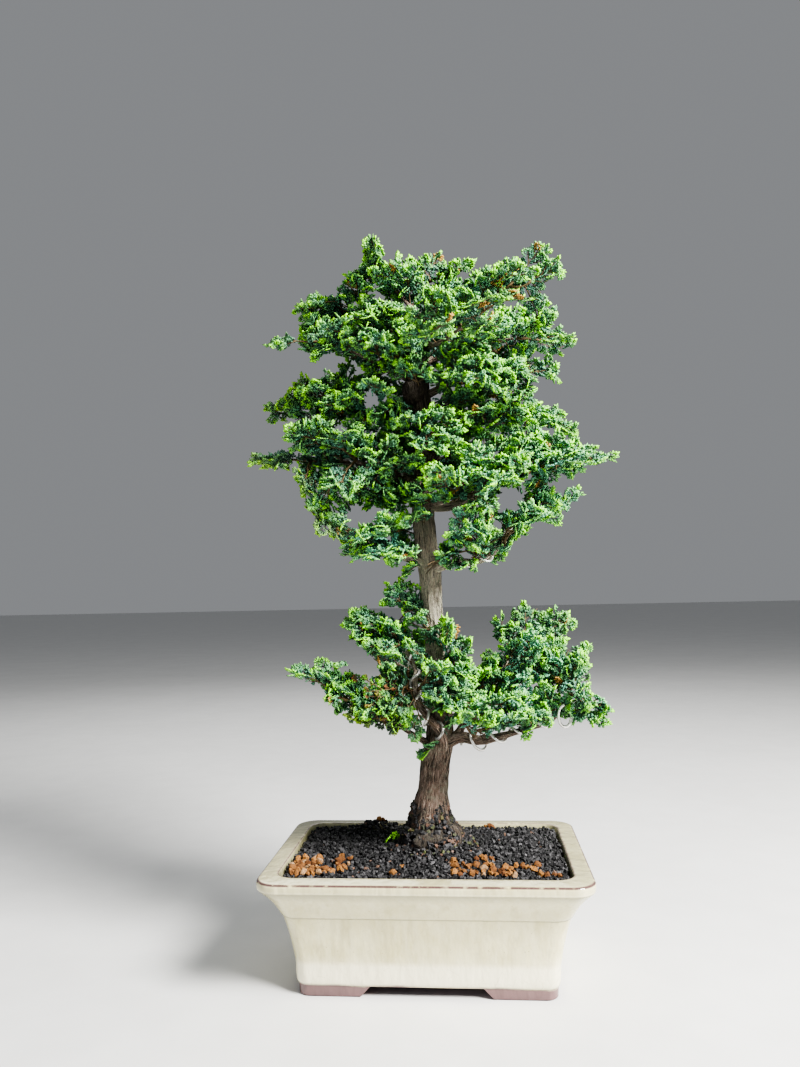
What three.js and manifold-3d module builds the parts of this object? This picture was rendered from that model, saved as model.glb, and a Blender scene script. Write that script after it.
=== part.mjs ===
// Hinoki cypress bonsai, trained in the informal upright style, in a glazed rectangular pot.
// Millimetres, +Z up, front towards -Y. Origin: centre of the pot's footprint, on the surface below its feet.

import * as THREE from 'three';
import { mergeVertices } from 'three/addons/utils/BufferGeometryUtils.js';
import Module from 'manifold-3d';

const wasm = await Module();
wasm.setup();

// ---------------------------------------------------------------- driving dimensions

const GAP = 0.3; // clearance between separate pieces that touch

const POT = {
  width: 250, depth: 178, height: 91,
  corner: 18, // plan radius of the rim's corners
  lip: 8, // height of the upright lip
  rim: 15, // width of the rim's top face
  cove: 16, // how far the hollow moulding below the lip runs in
  groove: 30.5, // the line that ends the moulding, below the top
  base: 27, // inset of the foot from the rim
  band: 23, // height of the slightly fuller band of pooled glaze
  hollow: [0.8, 1.4], // how far the wall and the moulding are drawn in from a straight slope
  wall: 8,
  floor: 8, // thickness of the floor
};
const FOOT = { height: 8, wall: 16, gapX: 42, gapY: 22, slope: 9 };
const DRAIN = { radius: 11, sides: 16, x: 46, mesh: 38, thickness: 1.2, bar: 5 };

const SOIL = { below: 3.5, mound: 12, moundRadius: 38, grain: 1.1, shy: 2.1, points: 30, rings: 7 };
const GRANULE = { radius: 3.3, sizes: [0.9, 1.15], pitch: 5.6, rowPitch: 4.8, rows: 2, columns: 4 };
const GRANULE_PATCHES = [
  { name: 'orange_granules_left', x: -84, y: -56, turn: -8 },
  { name: 'orange_granules_right', x: 46, y: -58, turn: 4 },
];

// Points of the trunk's centre line with its radius there, from below the soil to the leader.
const TRUNK = [
  [3, 5, 80, 17], [3, 5, 92, 24], [3, 5, 101, 25], [2, 5, 110, 19], [2.5, 4, 120, 15], [4, 4, 134, 12],
  [6, 4, 153, 11], [10, 3, 173, 11.5], [12, 2, 192, 9.5], [11, 0, 227, 8.6], [10, 0, 260, 8.4],
  [7, 2, 293, 8.2], [6, 3, 319, 9], [3, 3, 344, 8.4], [1, 2, 370, 9], [3, 0, 395, 8.2],
  [5, 0, 438, 7], [3, 0, 464, 7.5], [2, 2, 490, 6], [7, 5, 526, 4.6], [11, 6, 552, 3.2], [12, 7, 566, 2],
];
const KNOB = { place: [-3, -3, 472], radius: 10.5, stretch: [1, 0.9, 1.25] }; // healed scar on the trunk

// Each branch: its radius at the trunk, and the points of its centre line out to its last spray.
const BRANCHES = {
  wiredLeft: [4.8, [10, 3, 165], [14, -9, 181], [6, -15, 195], [-3, -16, 207], [-7, -14, 221], [-8, -8, 239],
    [-20, 0, 256], [-30, 2, 261]],
  lowLeft: [2.8, [8, 3, 171], [-12, -14, 186], [-32, -22, 201], [-57, -30, 213]],
  wiredRight: [5.6, [11, 3, 172], [28, -5, 181], [43, -13, 180], [58, -19, 183], [83, -25, 191],
    [100, -28, 197], [108, -28, 206], [111, -28, 214]],
  innerRight: [3, [24, -3, 180], [38, 4, 200], [54, 9, 218], [70, 13, 242]],
  lowBack: [3.2, [11, 2, 198], [12, 22, 208], [24, 42, 210], [42, 58, 204]],
  lowBackLeft: [2.6, [11, 2, 212], [-4, 20, 224], [-16, 34, 232], [-28, 48, 238]],
  leftArm: [4.2, [6, 3, 322], [-10, -7, 328], [-28, -13, 334], [-50, -19, 347]],
  rightArm: [4.2, [5, 3, 318], [28, -9, 324], [49, -14, 325], [62, -16, 333], [78, -17, 357]],
  darkRight: [5.6, [1, 2, 374], [26, -2, 372], [43, -4, 379], [57, -6, 389], [89, -10, 401]],
  midLeft: [4.4, [3, 0, 390], [-22, -4, 401], [-50, -8, 409], [-84, -10, 412]],
  backArm: [3.6, [3, 2, 400], [6, 24, 412], [14, 46, 420], [18, 65, 424]],
  highRight: [4, [4, 0, 428], [30, 12, 440], [62, 20, 446], [88, 23, 446]],
  highLeft: [4, [5, 0, 432], [-20, 8, 446], [-45, 14, 455], [-69, 20, 462]],
  crownRight: [3.4, [3, 1, 466], [27, -4, 475], [46, -8, 476], [66, -11, 476]],
  crownLeft: [3.6, [2, 2, 478], [-28, -4, 492], [-48, -7, 503], [-67, -8, 511]],
  shoulderRight: [3.2, [3, 3, 496], [36, 10, 509], [60, 15, 516], [83, 18, 519]],
  shoulderLeft: [3.2, [4, 3, 508], [-20, 12, 530], [-40, 17, 542], [-59, 21, 550]],
  crownFront: [3, [6, 4, 512], [18, -26, 504], [32, -46, 506], [44, -60, 510]],
  crownBack: [3, [6, 4, 514], [4, 30, 530], [-2, 48, 538], [4, 61, 543]],
  topRight: [3, [8, 5, 528], [36, 0, 540], [56, -3, 547], [73, -5, 554]],
  topLeft: [2.8, [8, 5, 532], [-6, 1, 547], [-23, -3, 567]],
};
// A dead stub on the trunk's front.
const STUB = { points: [[10, 0, 262], [4, -11, 272], [-1, -14, 277]], radii: [2.6, 1.4] };
const WOOD = {
  tip: 1.1, // radius at a branch's end
  margin: GAP + 0.05, // room kept round the wood
  trunkSteps: 30, trunkSides: 10, step: 20, sides: 5,
  flare: 0.07, // share of the trunk that flares into the roots
};

// Wires wound round the wood: the branch, the stretch of it that is wound, turns and wire radius.
const COIL = { stepsPerTurn: 6, sides: 4, clearance: 3 * GAP };
const WIRES = [
  { name: 'wire_left_branch', branch: 'wiredLeft', from: 0.18, to: 0.88, turns: 5, radius: 1.2 },
  { name: 'wire_right_branch', branch: 'wiredRight', from: 0.17, to: 0.96, turns: 5, radius: 1.1 },
  { name: 'wire_right_arm', branch: 'rightArm', from: 0.23, to: 0.95, turns: 4, radius: 0.9 },
  { name: 'wire_left_arm', branch: 'midLeft', from: 0.22, to: 0.93, turns: 3, radius: 1 },
];

// Sprays of foliage: name, branch, place along it from 0 to 1, and the outermost point of each shoot. A slim
// shoot has a fourth number, which is how long its side fronds are as a share of the usual.
const SPRAYS = [
  ['low_left_tip', 'lowLeft', 1, [-108, -30, 246, 0.55], [-74, -36, 221, 0.5]],
  ['low_left_under', 'lowLeft', 0.62, [-52, -28, 211, 0.6], [-21, -40, 196, 0.8]],
  ['left_cluster_top', 'wiredLeft', 1, [-66, 8, 285], [-55, -28, 263]],
  ['left_cluster_front', 'wiredLeft', 0.92, [-28, -26, 277], [-38, -52, 252]],
  ['left_cluster_low', 'wiredLeft', 0.69, [-32, -26, 222], [-18, -54, 211]],
  ['left_cluster_back', 'lowBackLeft', 1, [-46, 72, 257], [-33, 52, 226]],
  ['trunk_front', 'wiredLeft', 0.55, [14, -62, 250], [26, -60, 216]],
  ['trunk_right', 'trunk', 0.32, [35, -22, 249], [25, -36, 272]],
  ['trunk_left', 'trunk', 0.42, [-32, -12, 301]],
  ['right_cluster_inner', 'innerRight', 0.37, [30, -16, 240], [55, 34, 226]],
  ['right_cluster_front', 'wiredRight', 0.3, [66, -70, 206, 0.6], [42, -76, 216, 0.8]],
  ['right_cluster_outer', 'wiredRight', 0.53, [98, -60, 212], [78, -50, 224]],
  ['right_tuft', 'innerRight', 1, [129, 16, 279], [73, -4, 269, 0.6]],
  ['right_tuft_under', 'innerRight', 0.67, [112, -30, 242], [92, -28, 264]],
  ['right_end', 'wiredRight', 1, [123, -30, 254], [142, -52, 206, 0.5]],
  ['low_back_right', 'lowBack', 1, [84, 72, 212], [116, 50, 236]],
  ['low_back', 'lowBack', 0.6, [8, 96, 236], [44, 92, 200]],
  ['right_arm_inner', 'rightArm', 0.49, [26, -36, 346], [47, -54, 355]],
  ['right_arm_front', 'rightArm', 0.8, [79, -54, 354], [68, -42, 333]],
  ['right_arm_tip', 'rightArm', 1, [133, -22, 374, 0.4], [107, -38, 392, 0.8]],
  ['dark_right_tip', 'darkRight', 1, [149, -60, 405], [120, -54, 395]],
  ['dark_right_mid', 'darkRight', 0.63, [82, -52, 412], [64, -62, 390]],
  ['dark_right_near', 'darkRight', 0.31, [24, -66, 392], [42, -82, 403]],
  ['high_right_tip', 'highRight', 1, [137, 20, 435], [119, 34, 456]],
  ['high_right_front', 'highRight', 0.7, [84, -26, 451], [47, -50, 446]],
  ['crown_right_tip', 'crownRight', 1, [104, -30, 469], [120, -14, 484]],
  ['crown_right_front', 'crownRight', 0.51, [34, -60, 474], [66, -62, 466]],
  ['shoulder_right_tip', 'shoulderRight', 1, [138, 22, 512], [117, 18, 541]],
  ['top_right_tip', 'topRight', 1, [112, -10, 591], [126, -20, 566]],
  ['crown_front_tip', 'crownFront', 1, [85, -110, 519], [52, -106, 490]],
  ['leader', 'trunk', 1, [4, -4, 583], [30, -8, 571]],
  ['leader_right', 'topRight', 0.56, [47, 16, 573], [73, 28, 574]],
  ['top_left_tip', 'topLeft', 1, [-38, -8, 594], [-60, 2, 574]],
  ['shoulder_left_tip', 'shoulderLeft', 1, [-114, 30, 564], [-85, 14, 561]],
  ['shoulder_left_front', 'shoulderLeft', 0.53, [-23, -44, 537], [-48, -50, 528]],
  ['crown_left_tip', 'crownLeft', 1, [-130, -10, 522, 0.8], [-82, -26, 501, 0.7]],
  ['high_left_tip', 'highLeft', 1, [-112, 12, 490], [-142, 30, 472]],
  ['high_left_front', 'highLeft', 0.62, [-56, -46, 467], [-28, -56, 474]],
  ['mid_left_tip', 'midLeft', 1, [-151, 20, 424, 0.6], [-94, -36, 387]],
  ['mid_left_front', 'midLeft', 0.67, [-101, -40, 435], [-60, -66, 382]],
  ['left_arm_tip', 'leftArm', 1, [-81, -20, 368], [-62, -16, 345]],
  ['left_arm_front', 'leftArm', 0.56, [-38, -54, 368], [-12, -44, 337]],
  ['heart_front', 'trunk', 0.73, [-4, -60, 444], [12, -72, 410]],
  ['back_left', 'backArm', 0.78, [-40, 100, 402], [-26, 90, 448]],
  ['back_right', 'backArm', 1, [70, 94, 416], [24, 110, 450]],
  ['crown_back_left', 'crownBack', 0.78, [-46, 84, 554], [-8, 100, 575]],
  ['crown_back_right', 'crownBack', 1, [70, 82, 547], [48, 95, 520]],
  ['shoulder_back', 'shoulderRight', 0.75, [108, 76, 508], [80, 90, 490]],
];

// A frond is a flat, feather-shaped spray: a blade notched almost to its rib between the side shoots.
const FROND = {
  length: 54, thickness: 0.9, neck: 1.2, rib: 0.085, curl: 0.28, cup: 0.5, ruffle: 0.05,
  notches: [0.18, 0.46, 0.76], // along the length, where the side shoots part
  reach: [0.33, 0.31], // how far each side shoot spreads
  slant: 0.16, // how far its tip points forward
};
// A stem is a flattened shoot that carries a frond at its end and others at its sides.
const STEM = {
  halfWidth: 1.2, thickness: 1.4, pitch: 28,
  share: 0.42, // least share of a shoot's length that is stem
  bow: 0.2, // how far it bows, as a share of its length
  forks: [0.15, 0.25], // where a second shoot can leave the first
  step: 0.25, // by which its root is moved off the wood
  furthest: 4, // that its root may be off the wood
  neck: 5, // reach of the joint between a frond and its stem
  spare: 14, // how much longer than its shoot a side frond may be
  lean: [45, 65], // angle of a side frond to its stem, in degrees
  sideLength: [0.8, 1], // length of a side frond, as a share of the longest
  roll: 35, // most that a frond is turned about its own length, in degrees
  blend: 0.7, // how far a forked shoot keeps to the plane of the first
};
// A frond that would meet something is turned about its base by these angles, then made smaller.
const BEND = { sizes: [1, 0.85, 0.7], lifts: [0, 16, -16, 32, -32, 48, -48], swings: [0, 14, -14, 28, -28] };

// ---------------------------------------------------------------- materials

const finish = (color, roughness, metalness = 0) =>
  new THREE.MeshStandardMaterial({ color, roughness, metalness });
const GLAZE = finish(0xe1dac3, 0.22);
const EARTH = finish(0x2f2e30, 0.95);
const FIRED = finish(0xb46a3c, 0.95);
const BARK = finish(0x6b5545, 0.95);
const WIRE = finish(0xc9c4bf, 0.35, 1);
const NET = finish(0x202322, 0.7);
const LEAF = finish(0x4f7f3a, 0.7);

// ---------------------------------------------------------------- small tools

const UP = new THREE.Vector3(0, 0, 1);
const vector = ([x, y, z]) => new THREE.Vector3(x, y, z);
const radians = THREE.MathUtils.degToRad;
const lerp = THREE.MathUtils.lerp;

/** A repeatable draw from 0 to 1 for a list of whole numbers. */
function draw(...keys) {
  let hash = 2166136261;
  for (const key of keys) {
    hash = Math.imul(hash ^ key, 16777619);
    hash = Math.imul(hash ^ (hash >>> 15), 2246822519);
  }
  return ((hash ^ (hash >>> 13)) >>> 0) / 4294967296;
}

/** A closed geometry from points and triangles, with its faces turned outwards. */
function geometryOf(points, triangles) {
  let volume = 0;
  for (const [a, b, c] of triangles) {
    volume += points[a].dot(new THREE.Vector3().crossVectors(points[b], points[c]));
  }
  const faces = volume < 0 ? triangles.map(([a, b, c]) => [a, c, b]) : triangles;
  const geometry = new THREE.BufferGeometry().setFromPoints(points);
  geometry.setIndex(faces.flat());
  return geometry;
}

/** A solid for joining and cutting, made from any closed three.js geometry. */
function solidOf(geometry) {
  const plain = geometry.clone();
  plain.deleteAttribute('normal');
  plain.deleteAttribute('uv');
  const merged = mergeVertices(plain, 1e-4);
  return new wasm.Manifold(new wasm.Mesh({
    numProp: 3,
    vertProperties: new Float32Array(merged.attributes.position.array),
    triVerts: new Uint32Array(merged.index.array),
  }));
}

/** The three.js mesh of a solid, kept to its largest body. */
function meshOf(name, solid, material) {
  const bodies = solid.decompose().sort((a, b) => b.volume() - a.volume());
  const { numProp, vertProperties, triVerts } = bodies[0].getMesh();
  const geometry = new THREE.BufferGeometry();
  const position = new Float32Array((vertProperties.length / numProp) * 3);
  for (let i = 0; i < position.length; i += 1) {
    position[i] = vertProperties[Math.floor(i / 3) * numProp + (i % 3)];
  }
  geometry.setAttribute('position', new THREE.BufferAttribute(position, 3));
  geometry.setIndex([...triVerts]);
  geometry.computeVertexNormals();
  const mesh = new THREE.Mesh(geometry, material);
  mesh.name = name;
  return mesh;
}

/** A closed skin over a stack of rings that have the same number of points. */
function loft(rings) {
  const count = rings[0].length;
  const points = rings.flat();
  const triangles = [];
  for (let ring = 0; ring < rings.length - 1; ring += 1) {
    for (let i = 0; i < count; i += 1) {
      const a = ring * count + i;
      const b = ring * count + ((i + 1) % count);
      triangles.push([a, b, b + count], [a, b + count, a + count]);
    }
  }
  const last = (rings.length - 1) * count;
  for (let i = 1; i < count - 1; i += 1) {
    triangles.push([0, i + 1, i], [last, last + i, last + i + 1]);
  }
  return geometryOf(points, triangles);
}

/** A smooth curve through hand-chosen points. */
const curveOf = (points) => new THREE.CatmullRomCurve3(points);

/** A tapered limb along a curve; radiusAt(t, angle) may vary round it. */
function limb(curve, steps, sides, radiusAt) {
  const { normals, binormals } = curve.computeFrenetFrames(steps, false);
  const rings = [];
  for (let i = 0; i <= steps; i += 1) {
    const centre = curve.getPointAt(i / steps);
    const ring = [];
    for (let j = 0; j < sides; j += 1) {
      const angle = (2 * Math.PI * j) / sides;
      const radius = radiusAt(i / steps, angle);
      ring.push(centre.clone()
        .addScaledVector(normals[i], radius * Math.cos(angle))
        .addScaledVector(binormals[i], radius * Math.sin(angle)));
    }
    rings.push(ring);
  }
  return loft(rings);
}

// ---------------------------------------------------------------- pot

/** The plan of the pot at an inset from its rim: a rectangle with round corners. */
function potRing(inset, z, perCorner = 3) {
  const radius = Math.max(POT.corner - 0.3 * inset, 6);
  const halfWidth = POT.width / 2 - inset - radius;
  const halfDepth = POT.depth / 2 - inset - radius;
  const ring = [];
  for (const [sx, sy, start] of [[1, 1, 0], [-1, 1, 90], [-1, -1, 180], [1, -1, 270]]) {
    for (let i = 0; i <= perCorner; i += 1) {
      const angle = radians(start + (90 * i) / perCorner);
      ring.push(new THREE.Vector3(
        sx * halfWidth + radius * Math.cos(angle),
        sy * halfDepth + radius * Math.sin(angle),
        z,
      ));
    }
  }
  return ring;
}

/** Places of a profile from one to another, drawn in between them by a share of a sine. */
function slope([fromInset, fromZ], [toInset, toZ], hollow, steps = 3) {
  return Array.from({ length: steps + 1 }, (_, i) => [
    lerp(fromInset, toInset, i / steps) + hollow * Math.sin((Math.PI * i) / steps),
    lerp(fromZ, toZ, i / steps),
  ]);
}

/** Inset and height of the outer wall, from the foot up: band, wall, groove, hollow moulding, lip. */
function outerProfile() {
  const grooveZ = POT.height - POT.groove;
  const lipZ = POT.height - POT.lip;
  const [wallHollow, coveHollow] = POT.hollow;
  return [
    [POT.base, FOOT.height], [POT.base - 1.3, FOOT.height + 5],
    ...slope([POT.base - 1.7, POT.band], [POT.cove + 1.2, grooveZ - 0.9], wallHollow),
    ...slope([POT.cove - 0.2, grooveZ + 0.7], [0.6, lipZ - 0.4], coveHollow),
    [0, lipZ + 1], [0, POT.height - 3], [1, POT.height - 1.6],
  ];
}

/** Inset and height of the inside, from the rim's inner edge down to the floor. */
function innerProfile() {
  const top = POT.height - 0.3;
  const floor = FOOT.height + POT.floor;
  return [
    [POT.rim - 1, top], [POT.rim, top - 1], [POT.cove + POT.wall, top - POT.groove],
    [POT.base + POT.wall - 4, POT.band + 10], [POT.base + POT.wall, floor + 3],
    [POT.base + POT.wall + 4, floor],
  ];
}

/** A bar with sloping ends that clears the underside between two feet. */
function footGap(halfLength, along, across) {
  const outline = new THREE.Shape([
    new THREE.Vector2(-halfLength - FOOT.slope, -1), new THREE.Vector2(halfLength + FOOT.slope, -1),
    new THREE.Vector2(halfLength, FOOT.height), new THREE.Vector2(-halfLength, FOOT.height),
  ]);
  const bar = new THREE.ExtrudeGeometry(outline, { depth: across, bevelEnabled: false, curveSegments: 1 });
  bar.translate(0, 0, -across / 2).rotateX(Math.PI / 2);
  return solidOf(along === 'y' ? bar.rotateZ(Math.PI / 2) : bar);
}

function makePot() {
  const rings = [...outerProfile(), ...innerProfile()].map(([inset, z]) => potRing(inset, z));
  const skirt = [potRing(POT.base + 0.6, 0), potRing(POT.base, FOOT.height + 1)];
  const hollow = [potRing(POT.base + FOOT.wall, -1), potRing(POT.base + FOOT.wall - 2, FOOT.height)];
  let feet = solidOf(loft(skirt)).subtract(solidOf(loft(hollow)));
  feet = feet.subtract(footGap(FOOT.gapX, 'x', POT.depth)).subtract(footGap(FOOT.gapY, 'y', POT.width));
  let pot = solidOf(loft(rings)).add(feet);
  for (const side of [-1, 1]) {
    const hole = new THREE.CylinderGeometry(DRAIN.radius, DRAIN.radius, 4 * POT.floor, DRAIN.sides);
    pot = pot.subtract(solidOf(hole.rotateX(Math.PI / 2).translate(side * DRAIN.x, 0, FOOT.height)));
  }
  return pot;
}

/** Net of bars over a drain hole, lying on the pot's floor. */
function makeDrainNet(side) {
  const opening = (DRAIN.mesh - 3 * DRAIN.bar) / 2;
  const offset = (opening + DRAIN.bar) / 2;
  let net = solidOf(new THREE.BoxGeometry(DRAIN.mesh, DRAIN.mesh, DRAIN.thickness));
  for (const x of [-offset, offset]) {
    for (const y of [-offset, offset]) {
      const hole = new THREE.BoxGeometry(opening, opening, 2 * DRAIN.thickness);
      net = net.subtract(solidOf(hole.translate(x, y, 0)));
    }
  }
  return net.translate([side * DRAIN.x, 0, FOOT.height + POT.floor + GAP + DRAIN.thickness / 2]);
}

// ---------------------------------------------------------------- soil

/** Height of the soil's surface: level by the rim, mounded to the trunk, with a relief of granules. */
function soilHeight(x, y) {
  const [rootX, rootY] = TRUNK[0];
  const away = Math.hypot(x - rootX, y - rootY) / SOIL.moundRadius;
  const grain = Math.sin(0.83 * x + 1.7 * Math.sin(0.31 * y)) * Math.sin(0.91 * y + 1.3 * Math.sin(0.27 * x));
  return POT.height - SOIL.below + SOIL.mound * Math.exp(-away * away) + SOIL.grain * grain;
}

/** One round of the soil, evenly spaced, drawn in from the pot's inner wall by a share of its size. */
function soilRing(inset, share, heightOf) {
  const outline = new THREE.Shape(potRing(inset, 0, 8).map(({ x, y }) => new THREE.Vector2(x, y)));
  outline.autoClose = true;
  const [rootX, rootY] = TRUNK[0];
  return outline.getSpacedPoints(SOIL.points).slice(0, -1).map((point) => {
    const x = lerp(point.x, rootX, share);
    const y = lerp(point.y, rootY, share);
    return new THREE.Vector3(x, y, heightOf(x, y));
  });
}

function soilBody() {
  const floor = FOOT.height + POT.floor + GAP;
  const walls = innerProfile().slice(2).reverse();
  const rings = walls.map(([inset, z]) => soilRing(inset + 2 * GAP, 0, () => Math.max(z, floor)));
  for (let i = 0; i < SOIL.rings; i += 1) {
    rings.push(soilRing(POT.rim + SOIL.shy, i / SOIL.rings, soilHeight));
  }
  return solidOf(loft(rings));
}

function makeSoil(wood) {
  let soil = soilBody().subtract(wood);
  for (const side of [-1, 1]) {
    const room = new THREE.BoxGeometry(DRAIN.mesh + 1, DRAIN.mesh + 1, 2 * DRAIN.thickness + 4 * GAP);
    soil = soil.subtract(solidOf(room.translate(side * DRAIN.x, 0, FOOT.height + POT.floor + GAP)));
  }
  return soil;
}

/** A patch of larger fired-clay granules that lie against each other on the soil. */
function makeGranules({ x, y, turn }, patch) {
  const grains = [];
  for (let row = 0; row < GRANULE.rows; row += 1) {
    for (let column = 0; column < GRANULE.columns; column += 1) {
      const size = GRANULE.radius * lerp(...GRANULE.sizes, draw(patch, row, column, 1));
      const along = (column - (GRANULE.columns - 1) / 2 + 0.5 * (row % 2)) * GRANULE.pitch;
      const place = new THREE.Vector3(along, row * GRANULE.rowPitch, 0)
        .applyAxisAngle(UP, radians(turn)).add(new THREE.Vector3(x, y, 0));
      const grain = new THREE.IcosahedronGeometry(size, 0).rotateX(6 * draw(patch, row, column, 2));
      grain.rotateZ(6 * draw(patch, row, column, 3));
      grains.push(solidOf(grain.translate(place.x, place.y, POT.height - SOIL.below + SOIL.grain + size)));
    }
  }
  return wasm.Manifold.union(grains);
}

// ---------------------------------------------------------------- wood

const trunkCurve = curveOf(TRUNK.map(([x, y, z]) => new THREE.Vector3(x, y, z)));
const limbs = { trunk: trunkCurve };
for (const [name, [, ...points]] of Object.entries(BRANCHES)) {
  limbs[name] = curveOf(points.map(vector));
}

/** Radius of a limb at a place along its length from 0 to 1. */
function limbRadius(name, t) {
  if (name !== 'trunk') return lerp(BRANCHES[name][0], WOOD.tip, t ** 0.8);
  const place = trunkCurve.getUtoTmapping(t) * (TRUNK.length - 1);
  const index = Math.min(Math.floor(place), TRUNK.length - 2);
  return lerp(TRUNK[index][3], TRUNK[index + 1][3], place - index);
}

/** Flutes of the trunk: strong where it flares into the roots, faint above. */
function flutes(t, angle) {
  const flare = Math.max(0, 1 - t / WOOD.flare);
  return 1 + 0.13 * flare * Math.cos(5 * angle + 0.6) + 0.05 * Math.cos(3 * angle + 14 * t);
}

/** All the wood as one solid, grown by a margin where room is kept round it. */
function makeWood(margin) {
  const trunkRadius = (t, angle) => limbRadius('trunk', t) * flutes(t, angle) + margin;
  const pieces = [limb(trunkCurve, WOOD.trunkSteps, WOOD.trunkSides, trunkRadius)];
  for (const name of Object.keys(BRANCHES)) {
    const steps = Math.round(limbs[name].getLength() / WOOD.step);
    pieces.push(limb(limbs[name], steps, WOOD.sides, (t) => limbRadius(name, t) + margin));
  }
  pieces.push(limb(curveOf(STUB.points.map(vector)), 2, WOOD.sides, (t) => lerp(...STUB.radii, t) + margin));
  pieces.push(new THREE.IcosahedronGeometry(KNOB.radius + margin, 1).scale(...KNOB.stretch)
    .translate(...KNOB.place));
  return wasm.Manifold.union(pieces.map(solidOf));
}

/** A wire wound round a branch with even turns. */
function makeWire({ branch, from, to, turns, radius }, margin = 0) {
  const curve = limbs[branch];
  const steps = turns * COIL.stepsPerTurn;
  const { normals, binormals } = curve.computeFrenetFrames(steps, false);
  const route = [];
  for (let i = 0; i <= steps; i += 1) {
    const t = lerp(from, to, i / steps);
    const frame = Math.round(t * steps);
    const away = limbRadius(branch, t) + radius + COIL.clearance;
    const angle = (2 * Math.PI * i) / COIL.stepsPerTurn;
    route.push(curve.getPointAt(t)
      .addScaledVector(normals[frame], away * Math.cos(angle))
      .addScaledVector(binormals[frame], away * Math.sin(angle)));
  }
  return solidOf(limb(curveOf(route), steps, COIL.sides, () => radius + margin));
}

// ---------------------------------------------------------------- foliage

/** A frame whose first axis is forward and whose third is as near to up as it can be. */
function frameOf(forward, up) {
  const ahead = forward.clone().normalize();
  const side = new THREE.Vector3().crossVectors(up, ahead).normalize();
  return { forward: ahead, side, up: new THREE.Vector3().crossVectors(ahead, side) };
}

/** A thin curved sheet, grown triangle by triangle, that becomes a solid of an even thickness. */
class Sheet {
  faces = [];
  skin = [];

  /** Adds a place on the sheet and returns its number. */
  place(point, up, thickness) {
    const half = up.clone().multiplyScalar(thickness / 2);
    this.skin.push(point.clone().add(half), point.clone().sub(half));
    return this.skin.length / 2 - 1;
  }

  /** Joins two pairs of places, each given as right and left, by two triangles. */
  strip([right, left], [nextRight, nextLeft]) {
    this.faces.push([right, nextRight, left], [nextRight, nextLeft, left]);
  }

  solid() {
    const edges = this.faces.flatMap(([a, b, c]) => [[a, b], [b, c], [c, a]]);
    const known = new Set(edges.map(([a, b]) => `${a} ${b}`));
    const triangles = this.faces.map(([a, b, c]) => [2 * a, 2 * b, 2 * c]);
    triangles.push(...this.faces.map(([a, b, c]) => [2 * a + 1, 2 * c + 1, 2 * b + 1]));
    for (const [a, b] of edges.filter(([from, to]) => !known.has(`${to} ${from}`))) {
      triangles.push([2 * a, 2 * a + 1, 2 * b + 1], [2 * a, 2 * b + 1, 2 * b]);
    }
    return solidOf(geometryOf(this.skin, triangles));
  }
}

/** Grows one frond's blade from a pair of places; pad makes it larger all round. */
function growFrond(sheet, root, { at, frame, length, keys }, pad = 0) {
  const curl = FROND.curl * (0.3 + draw(...keys, 21));
  const cup = FROND.cup * (0.3 + draw(...keys, 22));
  const place = (u, v, lift = 0) => {
    const height = lift - (curl * u * Math.abs(u) + cup * v * v) / length;
    const point = at.clone().addScaledVector(frame.forward, u).addScaledVector(frame.side, v);
    return sheet.place(point.addScaledVector(frame.up, height), frame.up, FROND.thickness + 2 * pad);
  };
  let pair = root;
  FROND.notches.forEach((share, i) => {
    const halfWidth = (i ? FROND.rib * length : FROND.neck) + pad;
    const next = [place(share * length, -halfWidth), place(share * length, halfWidth)];
    sheet.strip(pair, next);
    [-1, 1].slice(0, i ? 2 : 0).forEach((hand, which) => {
      const spread = length * FROND.reach[i - 1] * lerp(0.85, 1.15, draw(...keys, 30 + i, which));
      const lift = length * FROND.ruffle * (2 * draw(...keys, 33 + i, which) - 1);
      const along = length * (FROND.notches[i] + FROND.slant);
      const point = place(along + pad, hand * (spread + 2 * pad), lift);
      sheet.faces.push(which ? [pair[1], next[1], point] : [pair[0], point, next[0]]);
    });
    pair = next;
  });
  sheet.faces.push([pair[0], place(length + 2 * pad, 0), pair[1]]);
}

/** A frond by itself, or its outer part beyond its neck. */
function frondSolid(frond, pad = 0, skipped = 0) {
  const { at, frame, length } = frond;
  const sheet = new Sheet();
  const foot = at.clone().addScaledVector(frame.forward, skipped);
  const root = [-1, 1].map((hand) =>
    sheet.place(foot.clone().addScaledVector(frame.side, hand * (FROND.neck + pad)), frame.up,
      FROND.thickness + 2 * pad));
  growFrond(sheet, root, { ...frond, at: foot, length: length - skipped }, pad);
  return sheet.solid();
}

/** A shoot's centre line: it bows away from what it grows on, to where its last frond begins. */
function stemCurve(root, leaving, tip, slim) {
  const way = tip.clone().sub(root);
  const last = FROND.length * lerp(0.5, 1, slim);
  const end = root.clone().addScaledVector(way, Math.max(1 - last / way.length(), STEM.share));
  const middle = root.clone().lerp(end, 0.5).addScaledVector(leaving, STEM.bow * root.distanceTo(end));
  return curveOf([root, middle, end]);
}

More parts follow.
